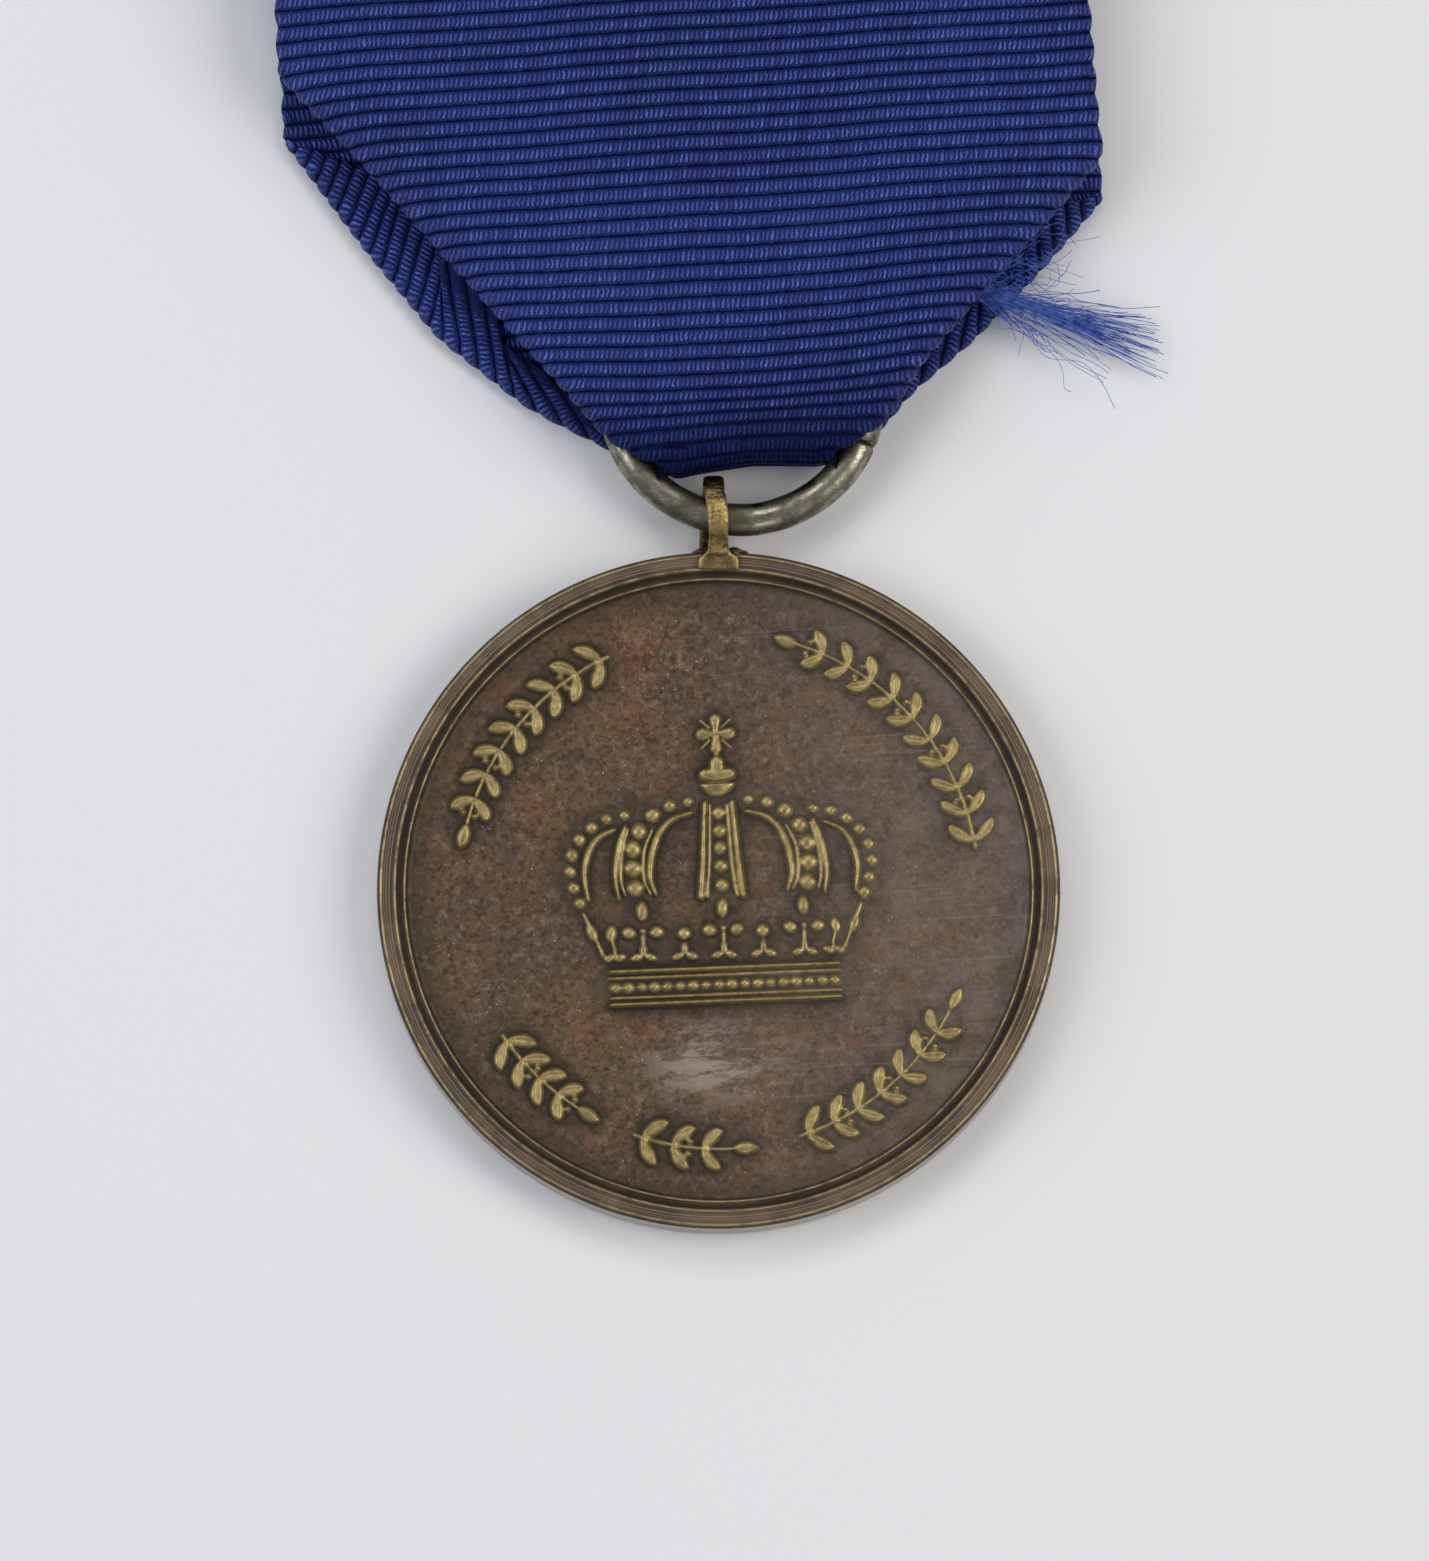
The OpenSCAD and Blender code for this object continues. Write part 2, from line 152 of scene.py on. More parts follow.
class Material:
    """A Principled material with short helpers that add nodes and return sockets."""

    def __init__(self, name, colour, roughness=0.5, metallic=0.0, specular=0.5):
        self.material = bpy.data.materials.new(name)
        self.material.use_nodes = True
        self.tree = self.material.node_tree
        self.shader = self.tree.nodes["Principled BSDF"]
        self.set("Base Color", (*colour, 1))
        self.set("Roughness", roughness)
        self.set("Metallic", metallic)
        self.set("Specular IOR Level", specular)

    def set(self, socket, value):
        if isinstance(value, bpy.types.NodeSocket):
            self.tree.links.new(value, self.shader.inputs[socket])
        else:
            self.shader.inputs[socket].default_value = value

    def node(self, kind, inputs=(), **settings):
        node = self.tree.nodes.new(kind)
        for key, value in settings.items():
            setattr(node, key, value)
        for key, value in dict(inputs).items():
            if isinstance(value, bpy.types.NodeSocket):
                self.tree.links.new(value, node.inputs[key])
            else:
                node.inputs[key].default_value = value
        return node

    def coords(self, scale=(1, 1, 1), turn=0.0):
        """Object coordinates in millimetres, scaled and turned about Z."""
        place = self.node("ShaderNodeTexCoord").outputs["Object"]
        size = tuple(s / MM for s in scale)
        return self.node("ShaderNodeMapping", {"Vector": place, "Scale": size,
                                               "Rotation": (0, 0, turn)}).outputs["Vector"]

    def noise(self, scale, detail=4.0, rough=0.55, where=None, distortion=0.0):
        return self.node("ShaderNodeTexNoise", {"Vector": where or self.coords(), "Scale": scale,
                                                "Detail": detail, "Roughness": rough,
                                                "Distortion": distortion}).outputs["Fac"]

    def spots(self, scale):
        cells = self.node("ShaderNodeTexVoronoi", {"Vector": self.coords(), "Scale": scale})
        return cells.outputs["Distance"]

    def attribute(self, name):
        return self.node("ShaderNodeAttribute", attribute_name=name).outputs["Fac"]

    def math(self, operation, a, b=0.0, c=0.0, clamp=False):
        inputs = {0: a, 1: b, 2: c}
        return self.node("ShaderNodeMath", inputs, operation=operation, use_clamp=clamp).outputs[0]

    def vector(self, operation, a, b):
        return self.node("ShaderNodeVectorMath", {0: a, 1: b}, operation=operation)

    def times(self, *values):
        """The product of two or more values."""
        product = values[0]
        for value in values[1:]:
            product = self.math("MULTIPLY", product, value)
        return product

    def ramp(self, value, low, high, out_low=0.0, out_high=1.0):
        """value spread from low..high to out_low..out_high, held beyond."""
        return self.node("ShaderNodeMapRange", {"Value": value, "From Min": low, "From Max": high,
                                                "To Min": out_low, "To Max": out_high},
                         interpolation_type="SMOOTHSTEP").outputs["Result"]

    def mix(self, share, a, b):
        node = self.tree.nodes.new("ShaderNodeMix")
        node.data_type = "RGBA"
        for index, value in ((0, share), (6, a), (7, b)):
            if isinstance(value, bpy.types.NodeSocket):
                self.tree.links.new(value, node.inputs[index])
            else:
                node.inputs[index].default_value = value if index == 0 else (*value, 1)
        return node.outputs[2]

    def bump(self, height, depth, strength=1.0, normal=None):
        """A bump whose height of 1 stands depth millimetres proud."""
        inputs = {"Height": height, "Distance": depth * MM, "Strength": strength}
        if normal is not None:
            inputs["Normal"] = normal
        return self.node("ShaderNodeBump", inputs).outputs["Normal"]


def metal(name, light, dark, roughness, patchiness=0.35):
    """Handled metal: tarnish in patches, fine scratches, edges that catch the light."""
    m = Material(name, light, roughness, 1.0)
    edge = m.node("ShaderNodeBevel", {"Radius": 0.08 * MM}, samples=4).outputs["Normal"]
    tarnish = m.ramp(m.noise(0.9, 6, 0.62), 0.38, 0.62, 0.0, patchiness)
    speck = m.ramp(m.noise(7.0, 3, 0.7), 0.52, 0.72, 0.0, 0.5)
    colour = m.mix(m.math("MAXIMUM", tarnish, speck), light, dark)
    m.set("Base Color", colour)
    scratch = m.noise(3.0, 2, 0.5, m.coords((0.35, 9, 0.35), 0.5))
    cross = m.noise(3.0, 2, 0.5, m.coords((0.4, 8, 0.4), -0.9))
    lines = m.ramp(m.math("MAXIMUM", scratch, cross), 0.62, 0.74)
    m.set("Roughness", m.math("ADD", m.times(tarnish, 0.35),
                              m.math("MULTIPLY_ADD", lines, 0.12, roughness), clamp=True))
    rough_skin = m.math("ADD", m.times(lines, -0.3), m.noise(2.2, 5, 0.6))
    m.set("Normal", m.bump(rough_skin, 0.02, 0.7, edge))
    return m.material


# ---------------------------------------------------------------- mesh helpers

def make_piece(name, vertices, faces, material, body, slot, smooth=True, replaces=()):
    """A mesh object from millimetre vertices, riding on a body."""
    mesh = bpy.data.meshes.new(name)
    vertices = np.asarray(vertices, float) * MM
    mesh.from_pydata(vertices.tolist(), [], faces if isinstance(faces, list) else faces.tolist())
    mesh.validate()
    mesh.shade_smooth() if smooth else mesh.shade_flat()
    mesh.materials.append(material)
    piece = bpy.data.objects.new(name, mesh)
    bpy.context.collection.objects.link(piece)
    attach(piece, body)
    if replaces:
        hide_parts(*replaces)
    return piece


def grid_faces(rows, columns, start=0, wrap=False):
    """Quads between consecutive rows of equally many vertices."""
    r = np.arange(rows - 1)[:, None]
    c = np.arange(columns if wrap else columns - 1)[None, :]
    after = (c + 1) % columns
    near, far = r * columns, (r + 1) * columns
    quads = np.stack([near + c, near + after, far + after, far + c], -1)
    return quads.reshape(-1, 4) + start


def capped(rings, sides):
    """Faces of a closed tube of rings, with a face over each end."""
    faces = grid_faces(rings, sides, wrap=True).tolist()
    faces.append(list(range(sides))[::-1])
    faces.append([(rings - 1) * sides + i for i in range(sides)])
    return faces


def set_attribute(piece, name, values):
    attribute = piece.data.attributes.new(name, "FLOAT", "POINT")
    attribute.data.foreach_set("value", np.asarray(values, np.float32))


def along(points):
    """Unit tangents of a polyline."""
    tangents = np.gradient(points, axis=0)
    return tangents / np.linalg.norm(tangents, axis=1)[:, None]


def tube(points, radii, sides=12, lobes=0, twist=0.0, depth=0.0):
    """Vertices and faces of a closed tube along points; lobes wind round it like plies, twist per mm."""
    points = np.asarray(points, float)
    tangents = along(points)
    normal = np.cross(tangents[0], [0.31, 0.17, 0.93])
    travelled = np.concatenate([[0], np.cumsum(np.linalg.norm(np.diff(points, axis=0), axis=1))])
    radii = np.broadcast_to(radii, len(points))
    rings = []
    angles = np.arange(sides) / sides * 2 * math.pi
    for point, tangent, radius, length in zip(points, tangents, radii, travelled):
        normal = normal - tangent * np.dot(normal, tangent)
        normal /= np.linalg.norm(normal)
        side = np.cross(tangent, normal)
        plies = np.abs(np.cos(lobes / 2 * (angles - twist * length))) - 1 if lobes else np.zeros(sides)
        reach = radius * (1 + depth * plies)
        across, up = reach * np.cos(angles), reach * np.sin(angles)
        rings.append(point + np.outer(across, normal) + np.outer(up, side))
    vertices = np.concatenate(rings + [points[:1], points[-1:]])
    faces = grid_faces(len(points), sides, wrap=True).tolist()
    last = (len(points) - 1) * sides
    first_cap, last_cap = len(points) * sides, len(points) * sides + 1
    for i in range(sides):
        j = (i + 1) % sides
        faces.append([j, i, first_cap])
        faces.append([last + i, last + j, last_cap])
    return vertices, faces


def join(parts):
    """One vertex array and face list from several."""
    vertices, faces, count = [], [], 0
    for v, f in parts:
        vertices.append(np.asarray(v, float))
        faces += [[i + count for i in face] for face in f]
        count += len(v)
    return np.concatenate(vertices), faces


def smoothstep(x, low, high):
    t = np.clip((x - low) / (high - low), 0, 1)
    return t * t * (3 - 2 * t)


# ---------------------------------------------------------------- struck relief

class Relief:
    """A square height map of the struck design, in the design's frame."""

    def __init__(self, half, step):
        self.half, self.step = half, step
        self.count = int(round(2 * half / step)) + 1
        self.height = np.zeros((self.count, self.count))
        self.ground = np.zeros_like(self.height)
        self.offset = (0.0, 0.0)

    def window(self, x0, x1, y0, y1, margin):
        lows = [int((v - margin + self.half) / self.step) for v in (x0, y0)]
        highs = [int((v + margin + self.half) / self.step) + 2 for v in (x1, y1)]
        cols = slice(max(lows[0], 0), min(highs[0], self.count))
        rows = slice(max(lows[1], 0), min(highs[1], self.count))
        x = np.arange(cols.start, cols.stop) * self.step - self.half
        y = np.arange(rows.start, rows.stop) * self.step - self.half
        return rows, cols, x[None, :], y[:, None]

    def raise_to(self, rows, cols, value, layer="height"):
        data = getattr(self, layer)
        data[rows, cols] = np.maximum(data[rows, cols], value)

    def dome(self, x, y, rx, ry=None, height=0.3, turn=0.0, power=0.5):
        """A bead or leaf-like drop."""
        ry = ry or rx
        x, y = x + self.offset[0], y + self.offset[1]
        rows, cols, gx, gy = self.window(x, x, y, y, max(rx, ry))
        c, s = math.cos(turn), math.sin(turn)
        u = ((gx - x) * c + (gy - y) * s) / rx
        v = (-(gx - x) * s + (gy - y) * c) / ry
        self.raise_to(rows, cols, height * np.clip(1 - u * u - v * v, 0, 1) ** power)

    def stroke(self, points, width, height, layer="height", power=0.5):
        """A ridge along a polyline; width may change from point to point."""
        points = np.asarray(points, float) + self.offset
        widths = np.broadcast_to(width, len(points))
        for a, b, wa, wb in zip(points[:-1], points[1:], widths[:-1], widths[1:]):
            low, high = np.minimum(a, b), np.maximum(a, b)
            rows, cols, gx, gy = self.window(low[0], high[0], low[1], high[1], max(wa, wb))
            d = b - a
            t = np.clip(((gx - a[0]) * d[0] + (gy - a[1]) * d[1]) / max(d @ d, 1e-9), 0, 1)
            distance = np.hypot(gx - a[0] - t * d[0], gy - a[1] - t * d[1])
            half = (wa + (wb - wa) * t) / 2 + 1e-6
            self.raise_to(rows, cols, height * np.clip(1 - (distance / half) ** 2, 0, 1) ** power, layer)

    def blurred(self, data, sigma):
        """Gaussian blur with a width in millimetres."""
        reach = int(3 * sigma / self.step) + 1
        kernel = np.exp(-0.5 * (np.arange(-reach, reach + 1) * self.step / sigma) ** 2)
        kernel /= kernel.sum()
        size = 1 << int(math.ceil(math.log2(self.count + 2 * reach)))
        spectrum = np.fft.rfft(kernel, size)
        for axis in (0, 1):
            shape = [1, 1]
            shape[axis] = -1
            full = np.fft.irfft(np.fft.rfft(data, size, axis) * spectrum.reshape(shape), size, axis)
            data = np.take(full, np.arange(reach, reach + self.count), axis)
        return data

    def sample(self, data, x, y):
        """Bilinear value at points of the design's frame."""
        fx = np.clip((x + self.half) / self.step, 0, self.count - 1.001)
        fy = np.clip((y + self.half) / self.step, 0, self.count - 1.001)
        ix, iy = fx.astype(int), fy.astype(int)
        tx, ty = fx - ix, fy - iy
        return ((data[iy, ix] * (1 - tx) + data[iy, ix + 1] * tx) * (1 - ty)
                + (data[iy + 1, ix] * (1 - tx) + data[iy + 1, ix + 1] * tx) * ty)


CROWN_BASE = (0.14, -4.93)
BAND_HALF = 5.02
BAND_H = 1.47
BAND_BEADS = 18
CROSS_Y = 11.86
# One side of the crown: rails as lines, beads as places with radii.
CENTRE_RAIL = ((0.6, 8.8), (0.7, 7.55), (0.79, 6.1), (0.93, 4.66))
CENTRE_LINE = ((0.38, 8.7), (0.43, 7.55), (0.5, 6.1), (0.66, 4.66))
INNER_RAIL = ((1.2, 8.38), (2.04, 8.12), (2.6, 7.6), (2.93, 6.85), (3.08, 6.15), (3.1, 5.5), (2.88, 4.8))
INNER_LINE = ((2.95, 7.7), (3.3, 6.9), (3.4, 6.15), (3.36, 5.4), (3.12, 4.84))
MIDDLE_RAIL = ((4.12, 7.92), (4.38, 7.3), (4.56, 6.55), (4.65, 5.6), (4.52, 4.66))
MIDDLE_LINE = ((4.0, 7.8), (4.24, 7.1), (4.37, 6.3), (4.4, 5.5), (4.26, 4.84))
OUTER_RAIL = ((4.6, 7.78), (5.22, 7.5), (5.65, 7.05), (5.92, 6.4), (6.0, 5.7), (5.87, 4.68))
INNER_BEADS = ((1.33, 8.9, 0.2), (2.15, 8.76, 0.25), (2.92, 8.37, 0.3), (3.53, 7.68, 0.31),
               (3.83, 6.87, 0.34), (3.87, 6.01, 0.35), (3.79, 5.14, 0.34))
OUTER_BEADS = ((4.15, 8.4, 0.21), (4.94, 8.27, 0.24), (5.61, 7.9, 0.25), (6.17, 7.39, 0.26),
               (6.53, 6.73, 0.26), (6.64, 6.0, 0.25), (6.49, 5.26, 0.24), (6.25, 4.57, 0.25))


def mirrored(points, side):
    return np.asarray(points, float) * (side, 1)


def curve_through(points, count):
    """A smooth line through the points, by Catmull-Rom pieces."""
    p = np.asarray(points, float)
    p = np.concatenate([2 * p[:1] - p[1:2], p, 2 * p[-1:] - p[-2:-1]])
    out = []
    for t in np.linspace(0, len(points) - 1.0001, count):
        i, f = int(t), t - int(t)
        a, b, c, d = p[i:i + 4]
        square, cube = 2 * a - 5 * b + 4 * c - d, 3 * b - a - 3 * c + d
        out.append(0.5 * (2 * b + (c - a) * f + square * f * f + cube * f ** 3))
    return np.array(out)


def taper(count, thick, thin=0.4):
    """Widths that swell from both ends to the middle."""
    return thick * (thin + (1 - thin) * np.sin(np.linspace(0, math.pi, count)) ** 0.6)


def strike_fleuron(r, x, big):
    """One leaf of the circlet: drop, side beads, stem and a three-lobed foot."""
    if big:
        r.dome(x, 4.12, 0.27, 0.46, 0.22)
        r.dome(x, 3.24, 0.14, 0.14, 0.14)
        for side in (-1, 1):
            r.dome(x + 0.61 * side, 3.18, 0.33, 0.29, 0.22, 0.3 * side)
        r.stroke([(x, 3.0), (x, 2.2)], 0.2, 0.15)
    else:
        r.dome(x, 3.07, 0.32, 0.31, 0.22)
    r.dome(x, 2.42, 0.17, 0.3, 0.17)
    for side in (-1, 1):
        r.dome(x + 0.3 * side, 2.08, 0.3, 0.19, 0.17, -0.35 * side)


def strike_band(r):
    """The circlet's band: rails above and below a row of beads."""
    rng = np.random.default_rng(5)
    r.stroke([(-BAND_HALF, BAND_H / 2), (BAND_HALF, BAND_H / 2)], BAND_H * 1.1, 0.9, "ground", 0.3)
    rails = ((0.0, 0.21, 0.3), (BAND_H, 0.21, 0.3), (0.3, 0.12, 0.16), (BAND_H - 0.29, 0.12, 0.16))
    for y, width, height in rails:
        r.stroke([(-BAND_HALF, y), (BAND_HALF, y)], width, height)
    pitch = 2 * (BAND_HALF - 0.2) / (BAND_BEADS - 1)
    for i in range(BAND_BEADS):
        size = 0.225 + 0.02 * math.sin(i * 2.4) + rng.uniform(-0.01, 0.015)
        r.dome((i - (BAND_BEADS - 1) / 2) * pitch, 0.75, size * 1.14, size, 0.2)
    return rng


def strike_arches(r, side, rng):
    """One side's arches: beads on a sunk ground between swelling rails."""
    for beads, width in ((INNER_BEADS, 1.15), (OUTER_BEADS, 0.8)):
        r.stroke(mirrored([(x, y) for x, y, size in beads], side), width, 0.9, "ground", 0.3)
        for x, y, size in beads:
            size = size * 1.1 + rng.uniform(-0.012, 0.012)
            r.dome(x * side, y, size, size * rng.uniform(0.95, 1.08), 0.07 + 0.42 * size)
    for line, width in ((INNER_RAIL, 0.36), (MIDDLE_RAIL, 0.29), (OUTER_RAIL, 0.34)):
        r.stroke(mirrored(curve_through(line, 36), side), taper(36, width), 0.22)
    for line, width in ((INNER_LINE, 0.18), (MIDDLE_LINE, 0.16)):
        r.stroke(mirrored(curve_through(line, 30), side), taper(30, width), 0.15)
    r.stroke(mirrored(curve_through(CENTRE_RAIL, 20), side), np.linspace(0.24, 0.34, 20), 0.23)
    r.stroke(mirrored(curve_through(CENTRE_LINE, 20), side), np.linspace(0.12, 0.17, 20), 0.15)


def strike_side_leaf(r, side):
    """The circlet's side leaf, seen edge-on."""
    r.dome(4.93 * side, 3.18, 0.25, 0.4, 0.2, 0.15 * side)
    r.dome(5.77 * side, 3.25, 0.24, 0.44, 0.2, -0.3 * side)
    stem = mirrored([(6.1, 4.1), (5.95, 3.75), (5.75, 3.3), (5.5, 2.7), (5.3, 2.2)], side)
    r.stroke(stem, (0.12, 0.24, 0.17, 0.15, 0.24), 0.16)
    r.stroke(mirrored([(4.93, 2.95), (4.8, 2.5), (4.78, 2.2)], side), 0.13, 0.17)
    for x in (5.05, 4.58):
        r.dome(x * side, 2.1, 0.29, 0.19, 0.17, -0.4 * side)


def strike_cross_and_orb(r):
    for side in (-1, 1):
        r.stroke([(0, CROSS_Y), (0.6 * side, CROSS_Y)], (0.22, 0.56), 0.19, power=0.25)
        r.stroke([(0, CROSS_Y), (0, CROSS_Y + 0.64 * side)], (0.22, 0.52), 0.19, power=0.25)
        for up in (-1, 1):
            r.stroke([(0.28 * side, CROSS_Y + 0.28 * up), (0.64 * side, CROSS_Y + 0.62 * up)], 0.13, 0.12)
    r.dome(0, 9.8, 0.82, 0.72, 0.3)
    r.stroke([(-0.56, 10.06), (0.56, 10.06)], 0.52, 0.33, power=0.2)
    r.stroke([(0, 10.1), (0, 10.56)], 0.64, 0.33, power=0.2)
    r.stroke([(0, 10.9), (0, 11.2)], 0.26, 0.15)


def strike_crown(r):
    r.offset = CROWN_BASE
    rng = strike_band(r)
    for side in (-1, 1):
        strike_arches(r, side, rng)
        strike_fleuron(r, 3.54 * side, True)
        strike_fleuron(r, 1.73 * side, False)
        strike_side_leaf(r, side)
    strike_fleuron(r, 0, True)
    r.stroke([(0, 8.6), (0, 4.9)], 1.5, 0.9, "ground", 0.3)
    for y in (8.34, 7.56, 6.79, 5.99, 5.14):
        r.dome(0, y, 0.3, 0.3, 0.2)
    strike_cross_and_orb(r)
    r.offset = (0.0, 0.0)


SPRIG_R = 11.45
SPRIGS = ((113, 164), (7, 71), (212, 236), (249, 272), (286, 331))


def sprig_leaves(start, end):
    """Each leaf of a sprig: its pair's number, side, root, lean and bow; side 0 is the tip."""
    pairs = max(3, round((end - start) / 6.6))
    for i in range(pairs + 1):
        angle = math.radians(start + (end - start) * (i + 0.25) / (pairs + 0.4))
        ahead = np.array([-math.sin(angle), math.cos(angle)])
        out = np.array([math.cos(angle), math.sin(angle)])
        for side in ((0,) if i == pairs else (-1, 1)):
            lean = ahead * 0.72 + out * 0.78 * side if side else ahead
            lean = lean / np.linalg.norm(lean) * (1.3 - 0.25 * i / pairs)
            berry = SPRIG_R * out + ahead * 0.75 + out * 0.28 * side
            yield i, side, SPRIG_R * out, lean, out * 0.14 * side, berry


def leaf_line(root, lean, bow, first, last, count):
    """The middle line of a bowed leaf between two shares of its length."""
    return [root + lean * t + bow * math.sin(math.pi * t) for t in np.linspace(first, last, count)]


def strike_sprig(r, start, end):
    """A laurel sprig along an arc about the disc's centre, angles in degrees."""
    angles = np.radians(np.linspace(start, end, 40))
    stem = np.stack([SPRIG_R * np.cos(angles), SPRIG_R * np.sin(angles)], 1)
    r.stroke(stem, np.linspace(0.2, 0.1, 40), 0.17)
    r.stroke(stem[2:-2], 1.3, 0.35, "ground", 0.8)
    widths = 0.62 * np.sin(np.linspace(0.25, math.pi - 0.12, 9)) ** 0.8
    for i, side, root, lean, bow, berry in sprig_leaves(start, end):
        r.stroke(leaf_line(root, lean, bow, 0.05, 1, 9), widths, 0.23, power=0.4)
        if side and i % 2:
            r.dome(berry[0], berry[1], 0.15, 0.15, 0.24)


def veins(r):
    """Depth of the grooves down the middle of the leaves."""
    cut = Relief(r.half, r.step)
    for start, end in SPRIGS:
        for _, side, root, lean, bow, _ in sprig_leaves(start, end):
            if side:
                cut.stroke(leaf_line(root, lean, bow, 0.12, 0.85, 7), 0.11, 0.08)
    return cut.height


def strike_design():
    """Height above the field, and the maps that drive wear and grime."""
    r = Relief(13.2, 0.025)
    strike_crown(r)
    for start, end in SPRIGS:
        strike_sprig(r, start, end)
    r.height -= veins(r)
    # the orb's equator line
    groove = Relief(r.half, r.step)
    groove.offset = CROWN_BASE
    groove.stroke([(-0.85, 9.74), (0, 9.7), (0.85, 9.74)], 0.15, 0.2)
    r.height = np.maximum(r.height - groove.height, 0)
    r.ground = np.clip(r.blurred(r.ground, 0.06), 0, 1)
    raised = r.blurred(r.height, 0.026) + 0.04 * r.ground
    soft = r.blurred(raised, 0.16)
    broad = r.blurred(raised, 0.55)
    proud = np.clip((raised - 0.05) / 0.05, 0, 1)
    r.maps = {"relief": raised,
              "worn": proud * np.clip(1.15 + (raised - soft) / 0.1, 0.35, 1),
              "grime": np.clip((soft - raised) / 0.045, 0, 1) * np.clip((0.1 - raised) / 0.05, 0, 1),
              "halo": np.clip(broad / 0.04, 0, 1) * np.clip((0.06 - raised) / 0.05, 0, 1),
              "ground": r.ground}
    return r


# ---------------------------------------------------------------- medal disc

# The rim's turned profile from the edge inwards, radius and height: ridge, flat, ridge, groove, ridge.
RIM = ((15.0, 2.14), (14.97, 2.2), (14.92, 2.235), (14.88, 2.3), (14.83, 2.33), (14.78, 2.32),
       (14.73, 2.27), (14.68, 2.24), (14.36, 2.23), (14.31, 2.25), (14.27, 2.32), (14.22, 2.34),
       (14.17, 2.3), (14.13, 2.2), (14.09, 2.1), (14.04, 2.07), (13.92, 2.06), (13.87, 2.1),
       (13.84, 2.17), (13.79, 2.2), (13.75, 2.17), (13.7, 2.04), (13.62, 1.93), (13.48, 1.88),
       (13.3, 1.9))
RIDGES = ((14.83, 0.045), (14.22, 0.045), (13.79, 0.04))
MIDDLE_RINGS = 160


def rim_height(radius):
    """Height of the rim's turned profile at a radius."""
    table = np.array(RIM)[::-1]
    height = np.interp(radius, table[:, 0], table[:, 1])
    lines = 0.008 * np.sin((radius - 14.4) * 2 * math.pi / 0.105) * (radius > 14.36) * (radius < 14.7)
    return height + lines


def disc_rings():
    """Radius and point count of each ring of the front face; fine where the relief and the rim are."""
    rings = [(0.052 * k, 8 * k) for k in range(1, MIDDLE_RINGS + 1)]
    rings += [(r, 640) for r in np.linspace(8.42, 10.2, 18)]
    rings += [(r, 1280) for r in np.linspace(10.26, 12.85, 48)]
    rings += [(r, 640) for r in np.linspace(12.95, 13.3, 4)]
    rings += [(r, 640) for r in np.linspace(13.34, 14.97, 66)]
    return rings + [(14.985, 640), (15.0, 640)]


def ring_faces(inner, n, outer, m):
    """Faces between two rings of points, whose counts are equal, twice or half."""
    faces = []
    if n == m:
        faces = [(inner + i, outer + i, outer + (i + 1) % n, inner + (i + 1) % n) for i in range(n)]
    elif m == 2 * n:
        for i in range(n):
            a, b = inner + i, inner + (i + 1) % n
            c, d, e = outer + 2 * i, outer + 2 * i + 1, outer + (2 * i + 2) % m
            faces += [(a, c, d), (a, d, b), (b, d, e)]
    else:
        for i in range(m):
            a, b, c = inner + 2 * i, inner + 2 * i + 1, inner + (2 * i + 2) % n
            d, e = outer + i, outer + (i + 1) % m
            faces += [(a, d, b), (b, d, e), (b, e, c)]
    return faces


def octant_faces(inner, outer, k):
    """Faces between ring k - 1 and ring k of the middle, which has eight more points."""
    faces = []
    n_in, n_out = max(8 * (k - 1), 1), 8 * k
    for octant in range(8):
        for i in range(k):
            a = outer + octant * k + i
            b = outer + (octant * k + i + 1) % n_out
            c = inner + (octant * (k - 1) + i) % n_in
            if i == k - 1:
                faces.append((a, b, c))
            else:
                faces.append((a, b, inner + (octant * (k - 1) + i + 1) % n_in, c))
    return faces


def front_plan():
    """Points and faces of the front face, flat."""
    points, faces = [np.zeros((1, 2))], []
    start, count = 0, 1
    for k, (radius, points_round) in enumerate(disc_rings(), 1):
        angles = np.arange(points_round) / points_round * 2 * math.pi
        points.append(radius * DISC_R / 15 * np.stack([np.cos(angles), np.sin(angles)], 1))
        after = start + count
        if k <= MIDDLE_RINGS:
            faces += octant_faces(start, after, k)
        else:
            faces += ring_faces(start, count, after, points_round)
        start, count = after, points_round
    return np.concatenate(points), faces, start, count


BACK = ((15.0, 2.0), (15.0, 1.2), (15.0, 0.3), (14.98, 0.14), (14.92, 0.05), (14.8, 0.0), (14.2, 0.0),
        (14.1, 0.04), (14.02, 0.2), (13.95, 0.36), (13.8, 0.4), (13.6, 0.4), (10.0, 0.42), (5.0, 0.42))


def struck_face(r, plan):
    """Height of the front face at each point of its plan, and the design's maps there."""
    radius = np.hypot(plan[:, 0], plan[:, 1])
    design = (plan[:, 0] + 1j * plan[:, 1]) * complex(math.cos(DIE_TURN), -math.sin(DIE_TURN))
    inside = radius < 13.1
    maps = {}
    for name, data in r.maps.items():
        maps[name] = np.where(inside, r.sample(data, design.real, design.imag), 0)
    rng = np.random.default_rng(3)
    waves = sum(a * np.sin(plan @ (rng.normal(size=2) * f) + p)
                for a, f, p in ((0.006, 0.5, 1), (0.005, 0.9, 4), (0.003, 1.7, 2), (0.002, 3.1, 0)))
    dish = -0.04 * np.clip(1 - radius / 13.3, 0, 1) ** 1.5
    field = DISC_T - FIELD_DEPTH + maps["relief"] + dish + waves * smoothstep(13.3 - radius, 0, 1)
    height = np.where(radius < 13.3, field, rim_height(radius * 15 / DISC_R))
    return np.minimum(height, DISC_T + 0.06), maps


